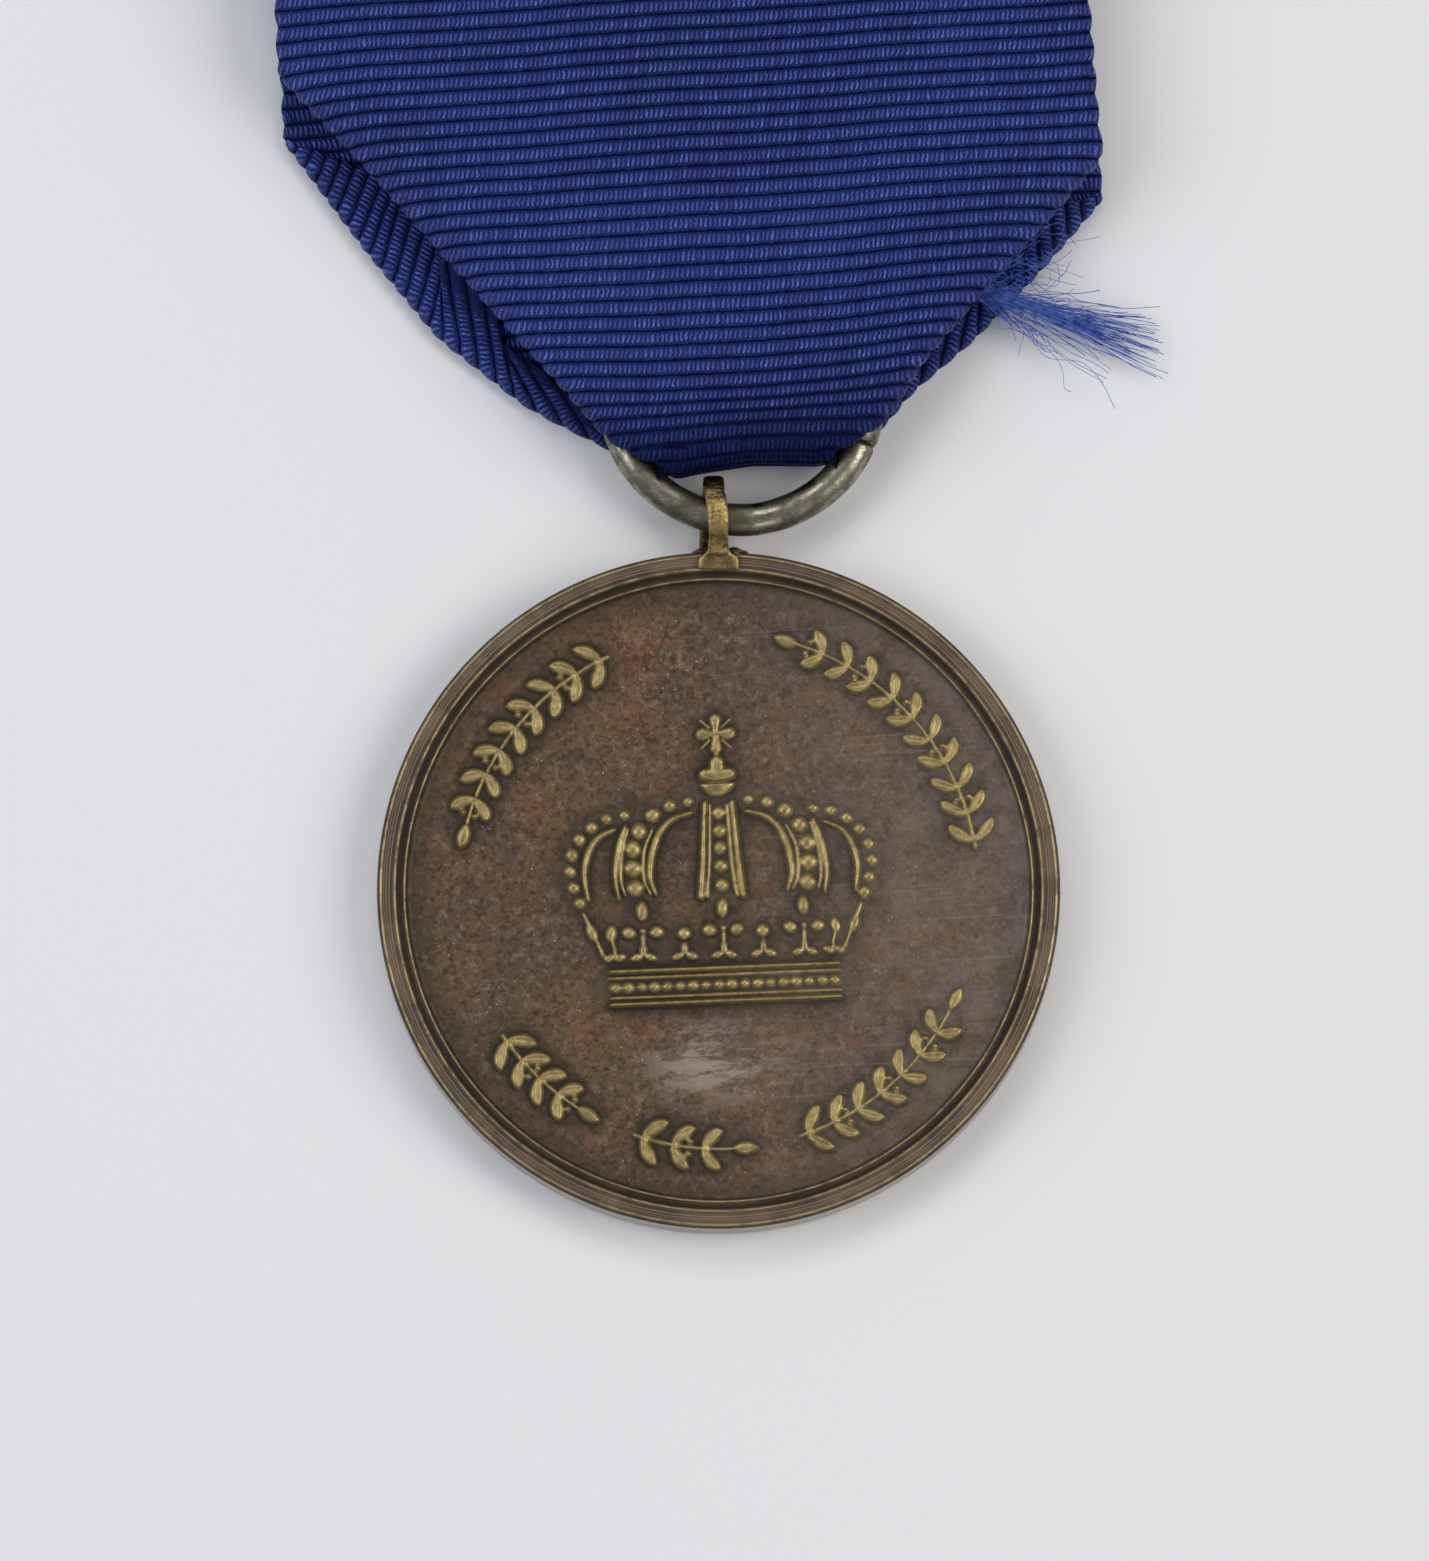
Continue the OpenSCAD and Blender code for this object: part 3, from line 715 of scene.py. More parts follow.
def disc_shell(front, faces, rim_start, sides):
    """The closed disc: its front, then rings down the edge and in over the back."""
    angles = np.arange(sides) / sides * 2 * math.pi
    circle = np.stack([np.cos(angles), np.sin(angles)], 1)
    rings = [np.column_stack([circle * radius, np.full(sides, z)]) for radius, z in BACK]
    vertices = np.concatenate([front] + rings + [np.array([[0, 0, BACK[-1][1]]])])
    starts = [rim_start] + [len(front) + k * sides for k in range(len(BACK))]
    for a, b in zip(starts, starts[1:]):
        faces += [(a + (i + 1) % sides, a + i, b + i, b + (i + 1) % sides) for i in range(sides)]
    last, centre = starts[-1], len(vertices) - 1
    faces += [(last + (i + 1) % sides, last + i, centre) for i in range(sides)]
    return vertices, faces


def mark_disc(piece, vertices, front_count, maps):
    """Vertex attributes that steer the bronze: the design's wear and grime, and the parts of the rim."""
    extra = len(vertices) - front_count
    for name in ("worn", "grime", "halo", "ground"):
        set_attribute(piece, name, np.concatenate([maps[name], np.zeros(extra)]))
    radius = np.hypot(vertices[:, 0], vertices[:, 1])
    on_front = np.arange(len(vertices)) < front_count
    set_attribute(piece, "rim", smoothstep(radius, 13.68, 13.78))
    set_attribute(piece, "radius", radius)
    ridge = np.max([np.exp(-((radius - at) / width) ** 2) for at, width in RIDGES], axis=0)
    set_attribute(piece, "ridge", ridge * on_front)
    # dark bands at the groove at 14.02 and at the outer edge, and painted shadow on the step down to the
    # field at 13.56
    grooves = [np.exp(-((radius - 14.02) / 0.1) ** 4), 0.9 * np.exp(-((radius - 13.56) / 0.14) ** 4),
               np.exp(-((radius - 14.97) / 0.03) ** 2)]
    set_attribute(piece, "groove", np.max(grooves, axis=0) * on_front)
    side = np.where(on_front, smoothstep(radius, 14.98, 15.0), smoothstep(radius, 14.9, 14.97))
    set_attribute(piece, "side", side)


def add_disc(r, material):
    """Struck front, turned edge and plain back as one closed mesh."""
    plan, faces, rim_start, sides = front_plan()
    height, maps = struck_face(r, plan)
    vertices, faces = disc_shell(np.column_stack([plan, height]), faces, rim_start, sides)
    x, y, z = vertices.T
    placed = DISC + np.outer(x, MEDAL_X) + np.outer(y, MEDAL_Y) + np.outer(z, Z)
    piece = make_piece("medal_body", placed, faces, material, "medal", "medal_bronze",
                       replaces=("medal_disc",))
    mark_disc(piece, vertices, len(plan), maps)


def bronze_clouds(m):
    """The field's patina: brown and purple, clouded with rust, olive and grey, with dark spots."""
    brown, purple = (0.148, 0.086, 0.046), (0.108, 0.070, 0.048)
    rust, olive, grey = (0.205, 0.098, 0.050), (0.100, 0.080, 0.040), (0.25, 0.205, 0.16)
    colour = m.mix(m.ramp(m.noise(0.22, 5, 0.62, distortion=0.4), 0.40, 0.60), brown, purple)
    for scale, stretch, turn, high, most, tone in ((0.30, (1, 1.2, 1), 0.6, 0.66, 0.55, rust),
                                                   (0.26, (1.1, 1, 1), 2.1, 0.64, 0.6, olive)):
        cloud = m.noise(scale, 6, 0.66, m.coords(stretch, turn))
        colour = m.mix(m.ramp(cloud, 0.50, high, 0, most), colour, tone)
    colour = m.mix(m.ramp(m.noise(2.2, 5, 0.72), 0.48, 0.66, 0, 0.55), colour, grey)
    speckle = m.noise(3.0, 5, 0.75, m.coords((1, 1, 1), 1.0))
    colour = m.mix(m.ramp(speckle, 0.52, 0.66, 0, 0.5), colour, rust)
    return m.mix(m.ramp(m.noise(4.0, 5, 0.75), 0.36, 0.56, 0.75, 0), colour, (0.032, 0.021, 0.016))


def bronze_scuffs(m, colour, place):
    """A paler, scuffed patch low on the field, and small light flecks."""
    spread = m.vector("MULTIPLY", place, (1 / (4.6 * MM), 1 / (2.6 * MM), 0)).outputs[0]
    reach = m.node("ShaderNodeVectorMath", {0: spread}, operation="LENGTH").outputs["Value"]
    inside = m.ramp(reach, 1.0, 0.15)
    broken = m.ramp(m.noise(0.9, 7, 0.75, m.coords((0.5, 1.8, 1), 0.25)), 0.44, 0.56, 0.1, 0.85)
    scuff = m.times(inside, broken)
    colour = m.mix(scuff, colour, (0.36, 0.28, 0.25))
    flecks = m.times(m.ramp(m.spots(3.2), 0.17, 0.06), m.ramp(m.noise(0.5, 3), 0.5, 0.6, 0, 0.75))
    return m.mix(flecks, colour, (0.45, 0.40, 0.36))


def bronze_grime(m, colour):
    """Darker near the relief and the rim, where polishing cloths don't reach."""
    halo = m.times(m.attribute("halo"), m.ramp(m.noise(1.6, 5, 0.7), 0.35, 0.6, 0.8, 0.4))
    edge = m.ramp(m.attribute("radius"), 12.0, 13.6, 0.0, 0.6)
    colour = m.mix(m.math("MAXIMUM", halo, edge), colour, (0.042, 0.031, 0.021))
    ground = m.times(m.attribute("ground"), m.ramp(m.noise(2.4, 4, 0.7), 0.35, 0.6, 0.35, 0.85))
    colour = m.mix(ground, colour, (0.082, 0.072, 0.046))
    return m.mix(m.times(m.attribute("grime"), 0.85), colour, (0.022, 0.018, 0.012))


def bronze_sheen_and_scratches(m, colour, place):
    """Painted light: a thin grey sheen that lightens the field towards the right, away from the window,
    and long fine scratches that are painted paler towards that side.
    """
    across = m.vector("DOT_PRODUCT", place, tuple(MEDAL_X / MM)).outputs["Value"]
    # painted light: a grey sheen that grows across the medal towards its right side
    right_sheen = m.times(m.ramp(across, -3, 13, 0, 0.62), m.ramp(m.noise(0.8, 6, 0.75), 0.38, 0.6, 0.35, 1.0))
    colour = m.mix(right_sheen, colour, (0.195, 0.158, 0.134))
    # real fine scratches, painted paler towards the right as if they catch more light there
    scratch = m.times(m.ramp(m.noise(2.2, 2, 0.5, m.coords((0.05, 3.2, 1), 0.75)), 0.62, 0.7),
                     m.ramp(across, -6, 10, 0.05, 0.26))
    return m.mix(scratch, colour, (0.26, 0.21, 0.175))


def bronze_rim(m):
    """The turned rim, purple-brown between rubbed ridges: its lathe stripe, wear and colour."""
    stripe = m.noise(1.0, 2, 0.6, m.node("ShaderNodeCombineXYZ", {
        "X": m.times(m.attribute("radius"), 18.0)}).outputs[0])
    around = m.ramp(m.noise(0.35, 5, 0.65), 0.42, 0.6)
    colour = m.mix(around, (0.070, 0.050, 0.038), (0.135, 0.092, 0.064))
    colour = m.mix(m.ramp(stripe, 0.5, 0.62, 0, 0.9), colour, (0.31, 0.235, 0.15))
    # the groove bands darken the rim; the band on the step down to the field is painted shadow
    colour = m.mix(m.times(m.attribute("groove"), 0.92), colour, (0.022, 0.017, 0.012))
    rubbed = m.times(m.attribute("ridge"), m.ramp(m.noise(1.4, 5, 0.7), 0.35, 0.6, 0.2, 1.0))
    return stripe, rubbed, m.mix(rubbed, colour, (0.44, 0.35, 0.18))


def bronze_material():
    """Dark brown patina over copper alloy, rubbed to olive brass on the high points and the rim."""
    m = Material("bronze_patina", (0.12, 0.09, 0.07), 0.42, 0.5, 0.2)
    colour = bronze_clouds(m)
    patch = tuple((DISC + MEDAL_Y * -7.6) * MM)
    place = m.vector("SUBTRACT", m.node("ShaderNodeTexCoord").outputs["Object"], patch).outputs[0]
    colour = bronze_scuffs(m, colour, place)
    colour = bronze_grime(m, colour)
    # painted light: a grey sheen and paler scratches towards the right side
    colour = bronze_sheen_and_scratches(m, colour, place)
    brass = m.mix(m.ramp(m.noise(2.5, 4, 0.6), 0.4, 0.65), (0.40, 0.31, 0.13), (0.28, 0.20, 0.085))
    worn = m.times(m.attribute("worn"), m.ramp(m.noise(1.1, 4, 0.6), 0.3, 0.5, 0.75, 1.0))
    colour = m.mix(worn, colour, brass)
    stripe, rubbed, rim_colour = bronze_rim(m)
    colour = m.mix(m.attribute("rim"), colour, rim_colour)
    colour = m.mix(m.attribute("side"), colour, (0.36, 0.33, 0.28))
    m.set("Base Color", colour)
    shine = m.math("MAXIMUM", worn, m.math("MAXIMUM", rubbed, m.attribute("side")))
    m.set("Metallic", m.ramp(shine, 0, 1, 0.4, 0.72))
    smear = m.ramp(m.noise(0.5, 6, 0.65), 0.35, 0.65, 0.38, 0.56)
    m.set("Roughness", m.math("SUBTRACT", smear, m.times(shine, 0.2), clamp=True))
    skin = m.math("ADD", m.noise(5.0, 6, 0.75), m.times(m.noise(1.6, 3, 0.5), 1.2))
    lathe = m.times(stripe, m.attribute("rim"))
    m.set("Normal", m.bump(m.math("ADD", skin, lathe), 0.032, 0.8))
    return m.material


# ---------------------------------------------------------------- eye, solder and ring

def medal_point(x, y, z):
    """A point given across, up and above the table, measured from the hinge point."""
    return np.array([HINGE[0], HINGE[1], 0.0]) + MEDAL_X * x + MEDAL_Y * y + Z * z


EYE_T = 0.44


def eye_line(edge_y, radius, thick):
    """Side view of the strip: y up and z from the hinge point, from the front foot to the back leg."""
    rim_z, hinge_z = DISC_T - HINGE[2], HINGE[2]
    mid_r = radius - thick / 2
    leg = np.array([(-0.8, 0.1), (-0.42, 0.13), (-0.1, 0.2), (0.12, 0.36), (0.28, 0.62)])
    leg += (edge_y, rim_z)
    start = math.atan2(leg[-1][1], leg[-1][0])
    angles = np.linspace(start, start - math.radians(262), 44)
    loop = mid_r * np.stack([np.cos(angles), np.sin(angles)], 1)
    loop[0] = (loop[0] + leg[-1]) / 2
    back = np.array([(edge_y + 0.18, 0.5 - hinge_z), (edge_y + 0.03, 0.75 - hinge_z)])
    side = np.concatenate([leg, loop[1:], back])
    side[:, 1] = np.maximum(side[:, 1], 0.05 - hinge_z + thick / 2)
    for _ in range(2):
        side[1:-1] = side[1:-1] * 0.5 + (side[:-2] + side[2:]) * 0.25
    travelled = np.concatenate([[0], np.cumsum(np.linalg.norm(np.diff(side, axis=0), axis=1))])
    even = np.linspace(0, travelled[-1], 120)
    return even, np.stack([np.interp(even, travelled, side[:, k]) for k in (0, 1)], 1)


def eye_sections(side, normals, travelled, wide, flat):
    """Sections along the strip: wide and thin at its front foot, leaning left over the ring."""
    rng = np.random.default_rng(11)
    hammer = smooth_line(rng.normal(0, 0.06, len(side)), 3)
    rings = []
    for p, n, length, dent in zip(side, normals, travelled, hammer):
        foot = smoothstep(0.9 - length, 0, 0.5)
        waist = math.exp(-((length - 1.5) / 0.5) ** 2)
        half_w = 0.47 + 0.42 * foot - 0.05 * waist + 0.3 * dent
        half_t = EYE_T / 2 * (1 - 0.45 * foot)
        lean = -0.22 * smoothstep(length, 2.2, 4.2) - 0.16 * smoothstep(length, 5.5, 8.0)
        rings.append([medal_point(lean + x * half_w, p[0] + n[0] * t * (half_t + 0.3 * dent * x),
                                  HINGE[2] + p[1] + n[1] * t * (half_t + 0.3 * dent * x))
                      for x, t in zip(wide, flat)])
    vertices = np.array(rings).reshape(-1, 3)
    vertices[:, 2] = np.maximum(vertices[:, 2], 0.02)
    return vertices


def add_eye(material, solder_material):
    """Strip bent round the ring, both ends on the disc, its front foot spread on the rim."""
    edge_y = DISC_R - np.linalg.norm((HINGE - DISC)[:2])
    travelled, side = eye_line(edge_y, 1.86, EYE_T)
    tangents = along(side)
    normals = np.stack([tangents[:, 1], -tangents[:, 0]], 1)
    if (side * normals).sum(1).mean() < 0:
        normals = -normals
    sides = 24
    around = np.arange(sides) / sides * 2 * math.pi
    wide = np.sign(np.cos(around)) * np.abs(np.cos(around)) ** 0.5
    flat = np.sign(np.sin(around)) * np.abs(np.sin(around)) ** 0.7
    vertices = eye_sections(side, normals, travelled, wide, flat)
    faces = capped(len(side), sides)
    piece = make_piece("eye_strip", vertices, faces, material, "medal", "eye_brass",
                       replaces=("suspension_eye",))
    stain = np.exp(-((travelled - 1.75) / 0.4) ** 2) + smoothstep(travelled, 3.3, 4.1)
    stain = stain + smoothstep(1.0 - travelled, 0, 0.3)
    set_attribute(piece, "stain", np.repeat(np.clip(stain, 0, 1), sides))
    set_attribute(piece, "rub", np.tile(np.abs(wide) ** 6 * (flat > -0.5), len(side)))
    add_solder(edge_y, solder_material)


def eye_material():
    """Bright hammered brass, stained dark brown over the top and in the bend."""
    m = Material("eye_brass", (0.5, 0.38, 0.15), 0.28, 1.0)
    colour = m.mix(m.ramp(m.noise(1.3, 5, 0.65), 0.38, 0.62), (0.50, 0.37, 0.14), (0.27, 0.19, 0.075))
    stained = m.times(m.attribute("stain"), m.ramp(m.noise(1.8, 5, 0.7), 0.25, 0.55, 0.95, 0.6))
    colour = m.mix(stained, colour, (0.045, 0.028, 0.016))
    colour = m.mix(m.times(m.attribute("rub"), 0.55), colour, (0.62, 0.47, 0.20))
    m.set("Base Color", colour)
    m.set("Roughness", m.math("MULTIPLY_ADD", stained, 0.18, m.ramp(m.noise(3, 4), 0.3, 0.7, 0.12, 0.26)))
    dents = m.math("ADD", m.noise(1.6, 2, 0.5), m.times(m.noise(6.0, 4, 0.7), 0.3))
    m.set("Normal", m.bump(dents, 0.16, 0.9))
    return m.material


def add_solder(edge_y, material):
    """Melted lumps in the corners between the strip and the disc's edge."""
    parts = []
    for side, size in ((-1, 0.85), (1, 1.0)):
        rows, columns = 14, 22
        theta = np.linspace(0.02, math.pi - 0.02, rows)[:, None]
        phi = (np.arange(columns) / columns * 2 * math.pi)[None, :]
        lump = 1 + 0.08 * np.sin(3 * phi + 2 * theta) + 0.05 * np.sin(5 * phi)
        x = 0.62 * size * np.sin(theta) * np.cos(phi) * lump
        y = 0.3 * size * np.sin(theta) * np.sin(phi) * lump
        z = 0.92 * size * np.cos(theta) * lump
        vertices = [medal_point(side * 0.72 + a, edge_y - 0.02 + b, 1.5 + c)
                    for a, b, c in zip(x.ravel(), y.ravel(), z.ravel())]
        parts.append((vertices, capped(rows, columns)))
    make_piece("solder_lumps", *join(parts), material, "medal", "solder_tin", replaces=("eye_solder",))


def add_ring(material):
    """Drawn wire bent to a circle, its cut ends butted at the lower right."""
    low, high = box_mm("suspension_ring")
    centre = (low + high) / 2
    wire = (high[2] - low[2]) / 2
    ring_r = (high[0] - low[0]) / 2 - wire
    seam = math.radians(-27)
    gap = 0.035 / ring_r
    count, sides = 260, 32
    angles = np.linspace(seam + gap, seam + 2 * math.pi - gap, count)
    wobble = 0.012 * np.sin(3 * angles + 1) + 0.008 * np.sin(7 * angles)
    points = np.stack([centre[0] + (ring_r + wobble) * np.cos(angles),
                       centre[1] + (ring_r + wobble) * np.sin(angles),
                       centre[2] + 0.01 * np.sin(2 * angles)], 1)
    distance = np.minimum(angles - angles[0], angles[-1] - angles) * ring_r
    radii = wire * (1 - 0.09 * np.exp(-distance / 0.06)) * (1 + 0.004 * np.sin(23 * angles))
    vertices, faces = tube(points, radii, sides)
    make_piece("ring_wire", vertices, faces, material, "ring", "ring_nickel",
               replaces=("suspension_ring",))


# ---------------------------------------------------------------- ribbon

RIBBON_W = 36.0
RIBBON_T = 0.45
RIB = 0.685
RIB_STEPS = 6
THREAD = 0.215
FOLD_R = 0.225
# Left and right creases of each layer: across and up from the hinge point.
FRONT_LEFT = ((-1.75, 2.1), (-2.5, 2.4), (-3.4, 2.75), (-4.1, 3.1), (-4.75, 3.6), (-6.6, 6.1),
              (-10.5, 11.2), (-14.3, 16.2), (-18.0, 20.8), (-20.5, 23.9))
FRONT_RIGHT = ((4.55, 2.1), (5.5, 2.45), (6.4, 2.85), (7.2, 3.25), (7.85, 3.65), (9.4, 5.9),
               (12.35, 9.0), (14.95, 11.6), (18.0, 14.6), (20.5, 17.0))
BACK_LEFT = ((-1.75, 2.1), (-4.5, 3.5), (-8.3, 5.8), (-11.9, 9.1), (-14.6, 12.9), (-17.2, 17.0),
             (-19.5, 20.6))
BACK_RIGHT = ((4.55, 2.1), (7.5, 3.6), (8.9, 5.1), (12.0, 7.4), (14.7, 9.9), (18.0, 13.2), (20.5, 15.7))
# Width over which the strip thins to its selvedge; columns of points between the two folds.
SELVEDGE = 0.32
PANEL_COLUMNS = 30


def smooth_line(values, count):
    """Moving average with held ends."""
    padded = np.concatenate([np.full(count, values[0]), values, np.full(count, values[-1])])
    kernel = np.hanning(2 * count + 3)[1:-1]
    return np.convolve(padded, kernel / kernel.sum(), "same")[count:-count]


def ribbon_path():
    """Side view of the strip: y and z every fraction of a rib, from the hem over the top to its end."""
    low, high = box_mm("ribbon")
    bar_low, bar_high = box_mm("stiffener_bar")
    half = RIBBON_T / 2
    slack = 0.05
    back_z = low[2] + half
    front_z = 2 * HINGE[2] - back_z
    neck_r = (front_z - back_z) / 2
    neck_y = low[1] + neck_r + half
    hem_z = bar_low[2] - slack - half
    over_z = bar_high[2] + slack + half
    top_r = (over_z - hem_z) / 2
    top = high[1] - top_r - half
    end_z = hem_z - RIBBON_T - slack
    top_arc = [(top + top_r * math.cos(a), (hem_z + over_z) / 2 + top_r * math.sin(a))
               for a in np.linspace(-math.pi / 2, math.pi / 2, 16)]
    neck_arc = [(neck_y + neck_r * math.cos(a), HINGE[2] + neck_r * math.sin(a))
                for a in np.linspace(math.pi / 2, 3 * math.pi / 2, 24)]
    front_run = [(high[1] - 10, over_z), (neck_y + 17.4, front_z)]
    back_run = [(neck_y + 14.4, back_z), (high[1] - 11, end_z), (high[1] - 2.5, end_z)]
    line = np.array([(high[1] - 9, hem_z)] + top_arc + front_run + neck_arc + back_run)
    travelled = np.concatenate([[0], np.cumsum(np.linalg.norm(np.diff(line, axis=0), axis=1))])
    step = RIB / RIB_STEPS
    count = int(travelled[-1] / step)
    s = np.arange(count) * step
    y, z = (smooth_line(np.interp(s, travelled, line[:, k]), 3) for k in (0, 1))
    lowest = int(np.argmin(y))
    return s, y, z, lowest, neck_y, neck_r


def crease_at(points, y):
    """Across position of a crease for rows at height y above the hinge point."""
    across, up = np.array(points).T
    return np.interp(y, up, across)


def fold_offset(d):
    """In-plane reach and drop of the strip at a distance d past a crease."""
    quarter = math.pi / 2 * FOLD_R
    angle = np.clip((d + quarter) / FOLD_R, 0, math.pi)
    reach = -FOLD_R + FOLD_R * np.sin(angle)
    fading = np.exp(np.minimum(d + quarter, 0) / 0.8)
    reach = np.where(d < -quarter, d + (quarter - FOLD_R) * fading, reach)
    reach = np.where(d > quarter, -FOLD_R - (d - quarter), reach)
    drop = FOLD_R * (np.cos(angle) - 1)
    return reach, drop


def press_neck(vertices):
    """Flattens the neck's gathered ends where the ring bears on them when it is pulled right down."""
    slide = joints["ring_slide"]["range_m"][1] / MM
    low, high = box_mm("suspension_ring")
    centre = (low + high) / 2
    wire = high[2] - low[2]
    inner = (high[0] - low[0]) / 2 - wire
    across = np.abs(vertices[:, 0] - centre[0])
    bearing = centre[1] - slide + np.sqrt(np.maximum(inner ** 2 - across ** 2, 0)) - 0.07
    near = (np.abs(vertices[:, 2] - centre[2]) < wire / 2 + 0.15) & (across < 4.4)
    near &= (vertices[:, 1] > bearing) & (vertices[:, 1] < bearing + 1.2)
    vertices[near, 1] = bearing[near]
    return vertices


class Strip:
    """The folded strip's run, row by row from the hem: its path, creases and directions."""

    def __init__(self):
        self.s, self.y, self.z, self.tip, self.neck_y, self.neck_r = ribbon_path()
        self.rows = len(self.s)
        self.step = self.s[1] - self.s[0]
        self.up = self.y - HINGE[1]
        self.away = np.abs(self.s - self.s[self.tip])
        self.front = np.arange(self.rows) < self.tip
        self.left = self.crease(FRONT_LEFT, BACK_LEFT, 1)
        self.right = self.crease(FRONT_RIGHT, BACK_RIGHT, -1)
        tangent = np.stack([np.gradient(self.y), np.gradient(self.z)], 1)
        self.tangent = tangent / np.linalg.norm(tangent, axis=1)[:, None]
        self.outward = np.stack([self.tangent[:, 1], -self.tangent[:, 0]], 1)

    def crease(self, front_line, back_line, inwards):
        """Across position of a crease, set in from the folded edge by half the strip's thickness."""
        line = np.where(self.front, crease_at(front_line, self.up), crease_at(back_line, self.up))
        line = smooth_line(line, 7)
        slope = np.clip(np.gradient(line, self.step), -1.5, 1.5)
        return line + inwards * RIBBON_T / 2 * np.hypot(1, slope)

    def place(self, across, against, drop):
        """One column's points as the strip turns through the neck, and as if it ran on level there."""
        y = self.up - self.tangent[:, 0] * against + self.outward[:, 0] * drop
        z = self.z - self.tangent[:, 1] * against + self.outward[:, 1] * drop
        way = np.where(self.front, 1.0, -1.0)
        level_y = self.up + way * against
        level_z = HINGE[2] + way * self.neck_r + way * drop
        return np.stack([across, y, z], 1), np.stack([across, level_y, level_z], 1)

    def side_columns(self, side, crease):
        """Columns of one side, outwards from its crease: place in the flat strip, then points."""
        slope = np.clip(-side * np.gradient(crease, self.step), -3, 3)
        # crease direction in the surface, across and against the strip's run
        e = np.stack([side * slope, np.ones(self.rows)], 1)
        e /= np.linalg.norm(e, axis=1)[:, None]
        e_out = e[:, 0] * side
        m_out = np.sqrt(np.maximum(1 - e_out ** 2, 0.05))
        # outward normal of the crease, in the surface
        m = np.stack([side * m_out, -e[:, 1] * e_out / m_out], 1)
        m /= np.linalg.norm(m, axis=1)[:, None]
        gather = 0.08 + 0.92 * smoothstep(self.away, 4.0, 12.0)
        free = 0.3 + 2.6 * smoothstep(self.away, 2.0, 3.6)
        for length in column_lengths(RIBBON_W / 2 - side * crease, m_out):
            gathered = length * gather + (1 - gather) * np.minimum(length, free)
            eased = np.where(length > 0, gathered, length)
            run = eased * e_out
            reach, drop = fold_offset(eased * m_out)
            across = crease + run * e[:, 0] + reach * m[:, 0]
            against = run * e[:, 1] + reach * m[:, 1]
            yield side * (side * crease + length), self.place(across, against, drop)

    def columns(self):
        """Every column from the left selvedge to the right one."""
        left = list(self.side_columns(-1, self.left))[::-1]
        right = list(self.side_columns(1, self.right))
        shares = np.linspace(0, 1, PANEL_COLUMNS + 2)[1:-1]
        inner = [left[-1][0] + (right[0][0] - left[-1][0]) * share for share in shares]
        return left + [(u, self.place(u, 0, 0)) for u in inner] + right


def column_lengths(width, m_out):
    """Distances of a side's columns past its crease: dense round the fold, then out to the selvedge."""
    quarter = math.pi / 2 * FOLD_R
    near = [d / m_out for d in (-2.6, -1.6, -1.0, -0.62, *(np.linspace(-1, 1, 7) * quarter))]
    room = np.maximum(width - SELVEDGE - quarter / m_out, 0)
    outer = [quarter / m_out + share * room for share in np.linspace(0, 1, 8)[1:]]
    limited = [np.minimum(length, width - SELVEDGE) for length in near + outer]
    return limited + [width - SELVEDGE * (1 - share) for share in (0.5, 0.84, 1.0)]


def lay_ribbon(strip):
    """Each point's place across the flat strip, and where the folding puts it."""
    columns = strip.columns()
    u = np.stack([across for across, _ in columns], 1)
    p = np.stack([points[0] for _, points in columns], 1)
    level = np.stack([points[1] for _, points in columns], 1)
    # beside the ring's hole the strip stays over and under the wire instead of turning through it
    low, high = box_mm("suspension_ring")
    beside = smoothstep(np.abs(p[:, :, 0] - (low[0] + high[0]) / 2), 2.9, 3.9)
    lift = beside * (np.abs(p[:, :, 1]) < strip.neck_y - HINGE[1] + 0.4)
    lift = (lift * smoothstep(strip.away, 0.0, 1.2)[:, None])[:, :, None]
    return u, p * (1 - lift) + level * lift


def settle_ribbon(strip, u, p):
    """Bends the neck, sags, swells and rolls the front layer, and loops the selvedge."""
    half_w = RIBBON_W / 2
    left, right = strip.left[:, None], strip.right[:, None]
    ux, vy = p[:, :, 0].copy(), p[:, :, 1].copy()
    # the neck's lower edge rises in the middle and dips at the left
    bow = 0.3 * np.exp(-((ux - 1.9) / 1.6) ** 2) - 0.14 * np.exp(-((ux + 1.7) / 0.7) ** 2)
    p[:, :, 1] += bow * np.exp(-strip.away / 1.3)[:, None]
    # ribs sag between the creases above the neck
    share = np.clip(((ux - (left + right) / 2) / ((right - left) / 2)) ** 2, 0, 1)
    sag = 0.5 * strip.front * smoothstep(strip.away, 2.0, 5.0) * smoothstep(strip.up, 17.0, 8.0)
    p[:, :, 1] += sag[:, None] * (share - 1)
    p[:, :, 1] += 0.03 * np.sin(ux * 0.55 + 0.8 + vy * 0.1) + 0.012 * np.sin(ux * 1.4 + 2)
    # the front layer rolls down towards its creases
    inside = np.minimum(ux - left, right - ux)
    rolled = (strip.front * smoothstep(strip.up, 6.5, 9.5))[:, None]
    roll = 0.42 * np.exp(-np.maximum(inside, 0) / 1.1) * rolled
    relax = smoothstep(vy, 4.0, 9.0) * smoothstep(vy, 50, 40)
    swell = 0.16 + 0.1 * np.sin(vy * 0.35 + 1) + 0.08 * np.sin(ux * 0.4 - vy * 0.2)
    swell = swell * np.cos(ux / half_w * 1.4)
    p[:, :, 2] += np.where(strip.front[:, None], relax * swell, 0.0) - roll
    # selvedge loops
    loops = 0.13 * np.abs(np.sin(math.pi * strip.s / (2 * RIB)))[:, None]
    edge_share = smoothstep(np.abs(u), half_w - 1.1, half_w - 0.1)
    du = np.gradient(p, axis=1)
    du /= np.maximum(np.linalg.norm(du, axis=2), 1e-9)[:, :, None]
    return p + du * (np.sign(u) * edge_share * (loops - 0.1))[:, :, None]


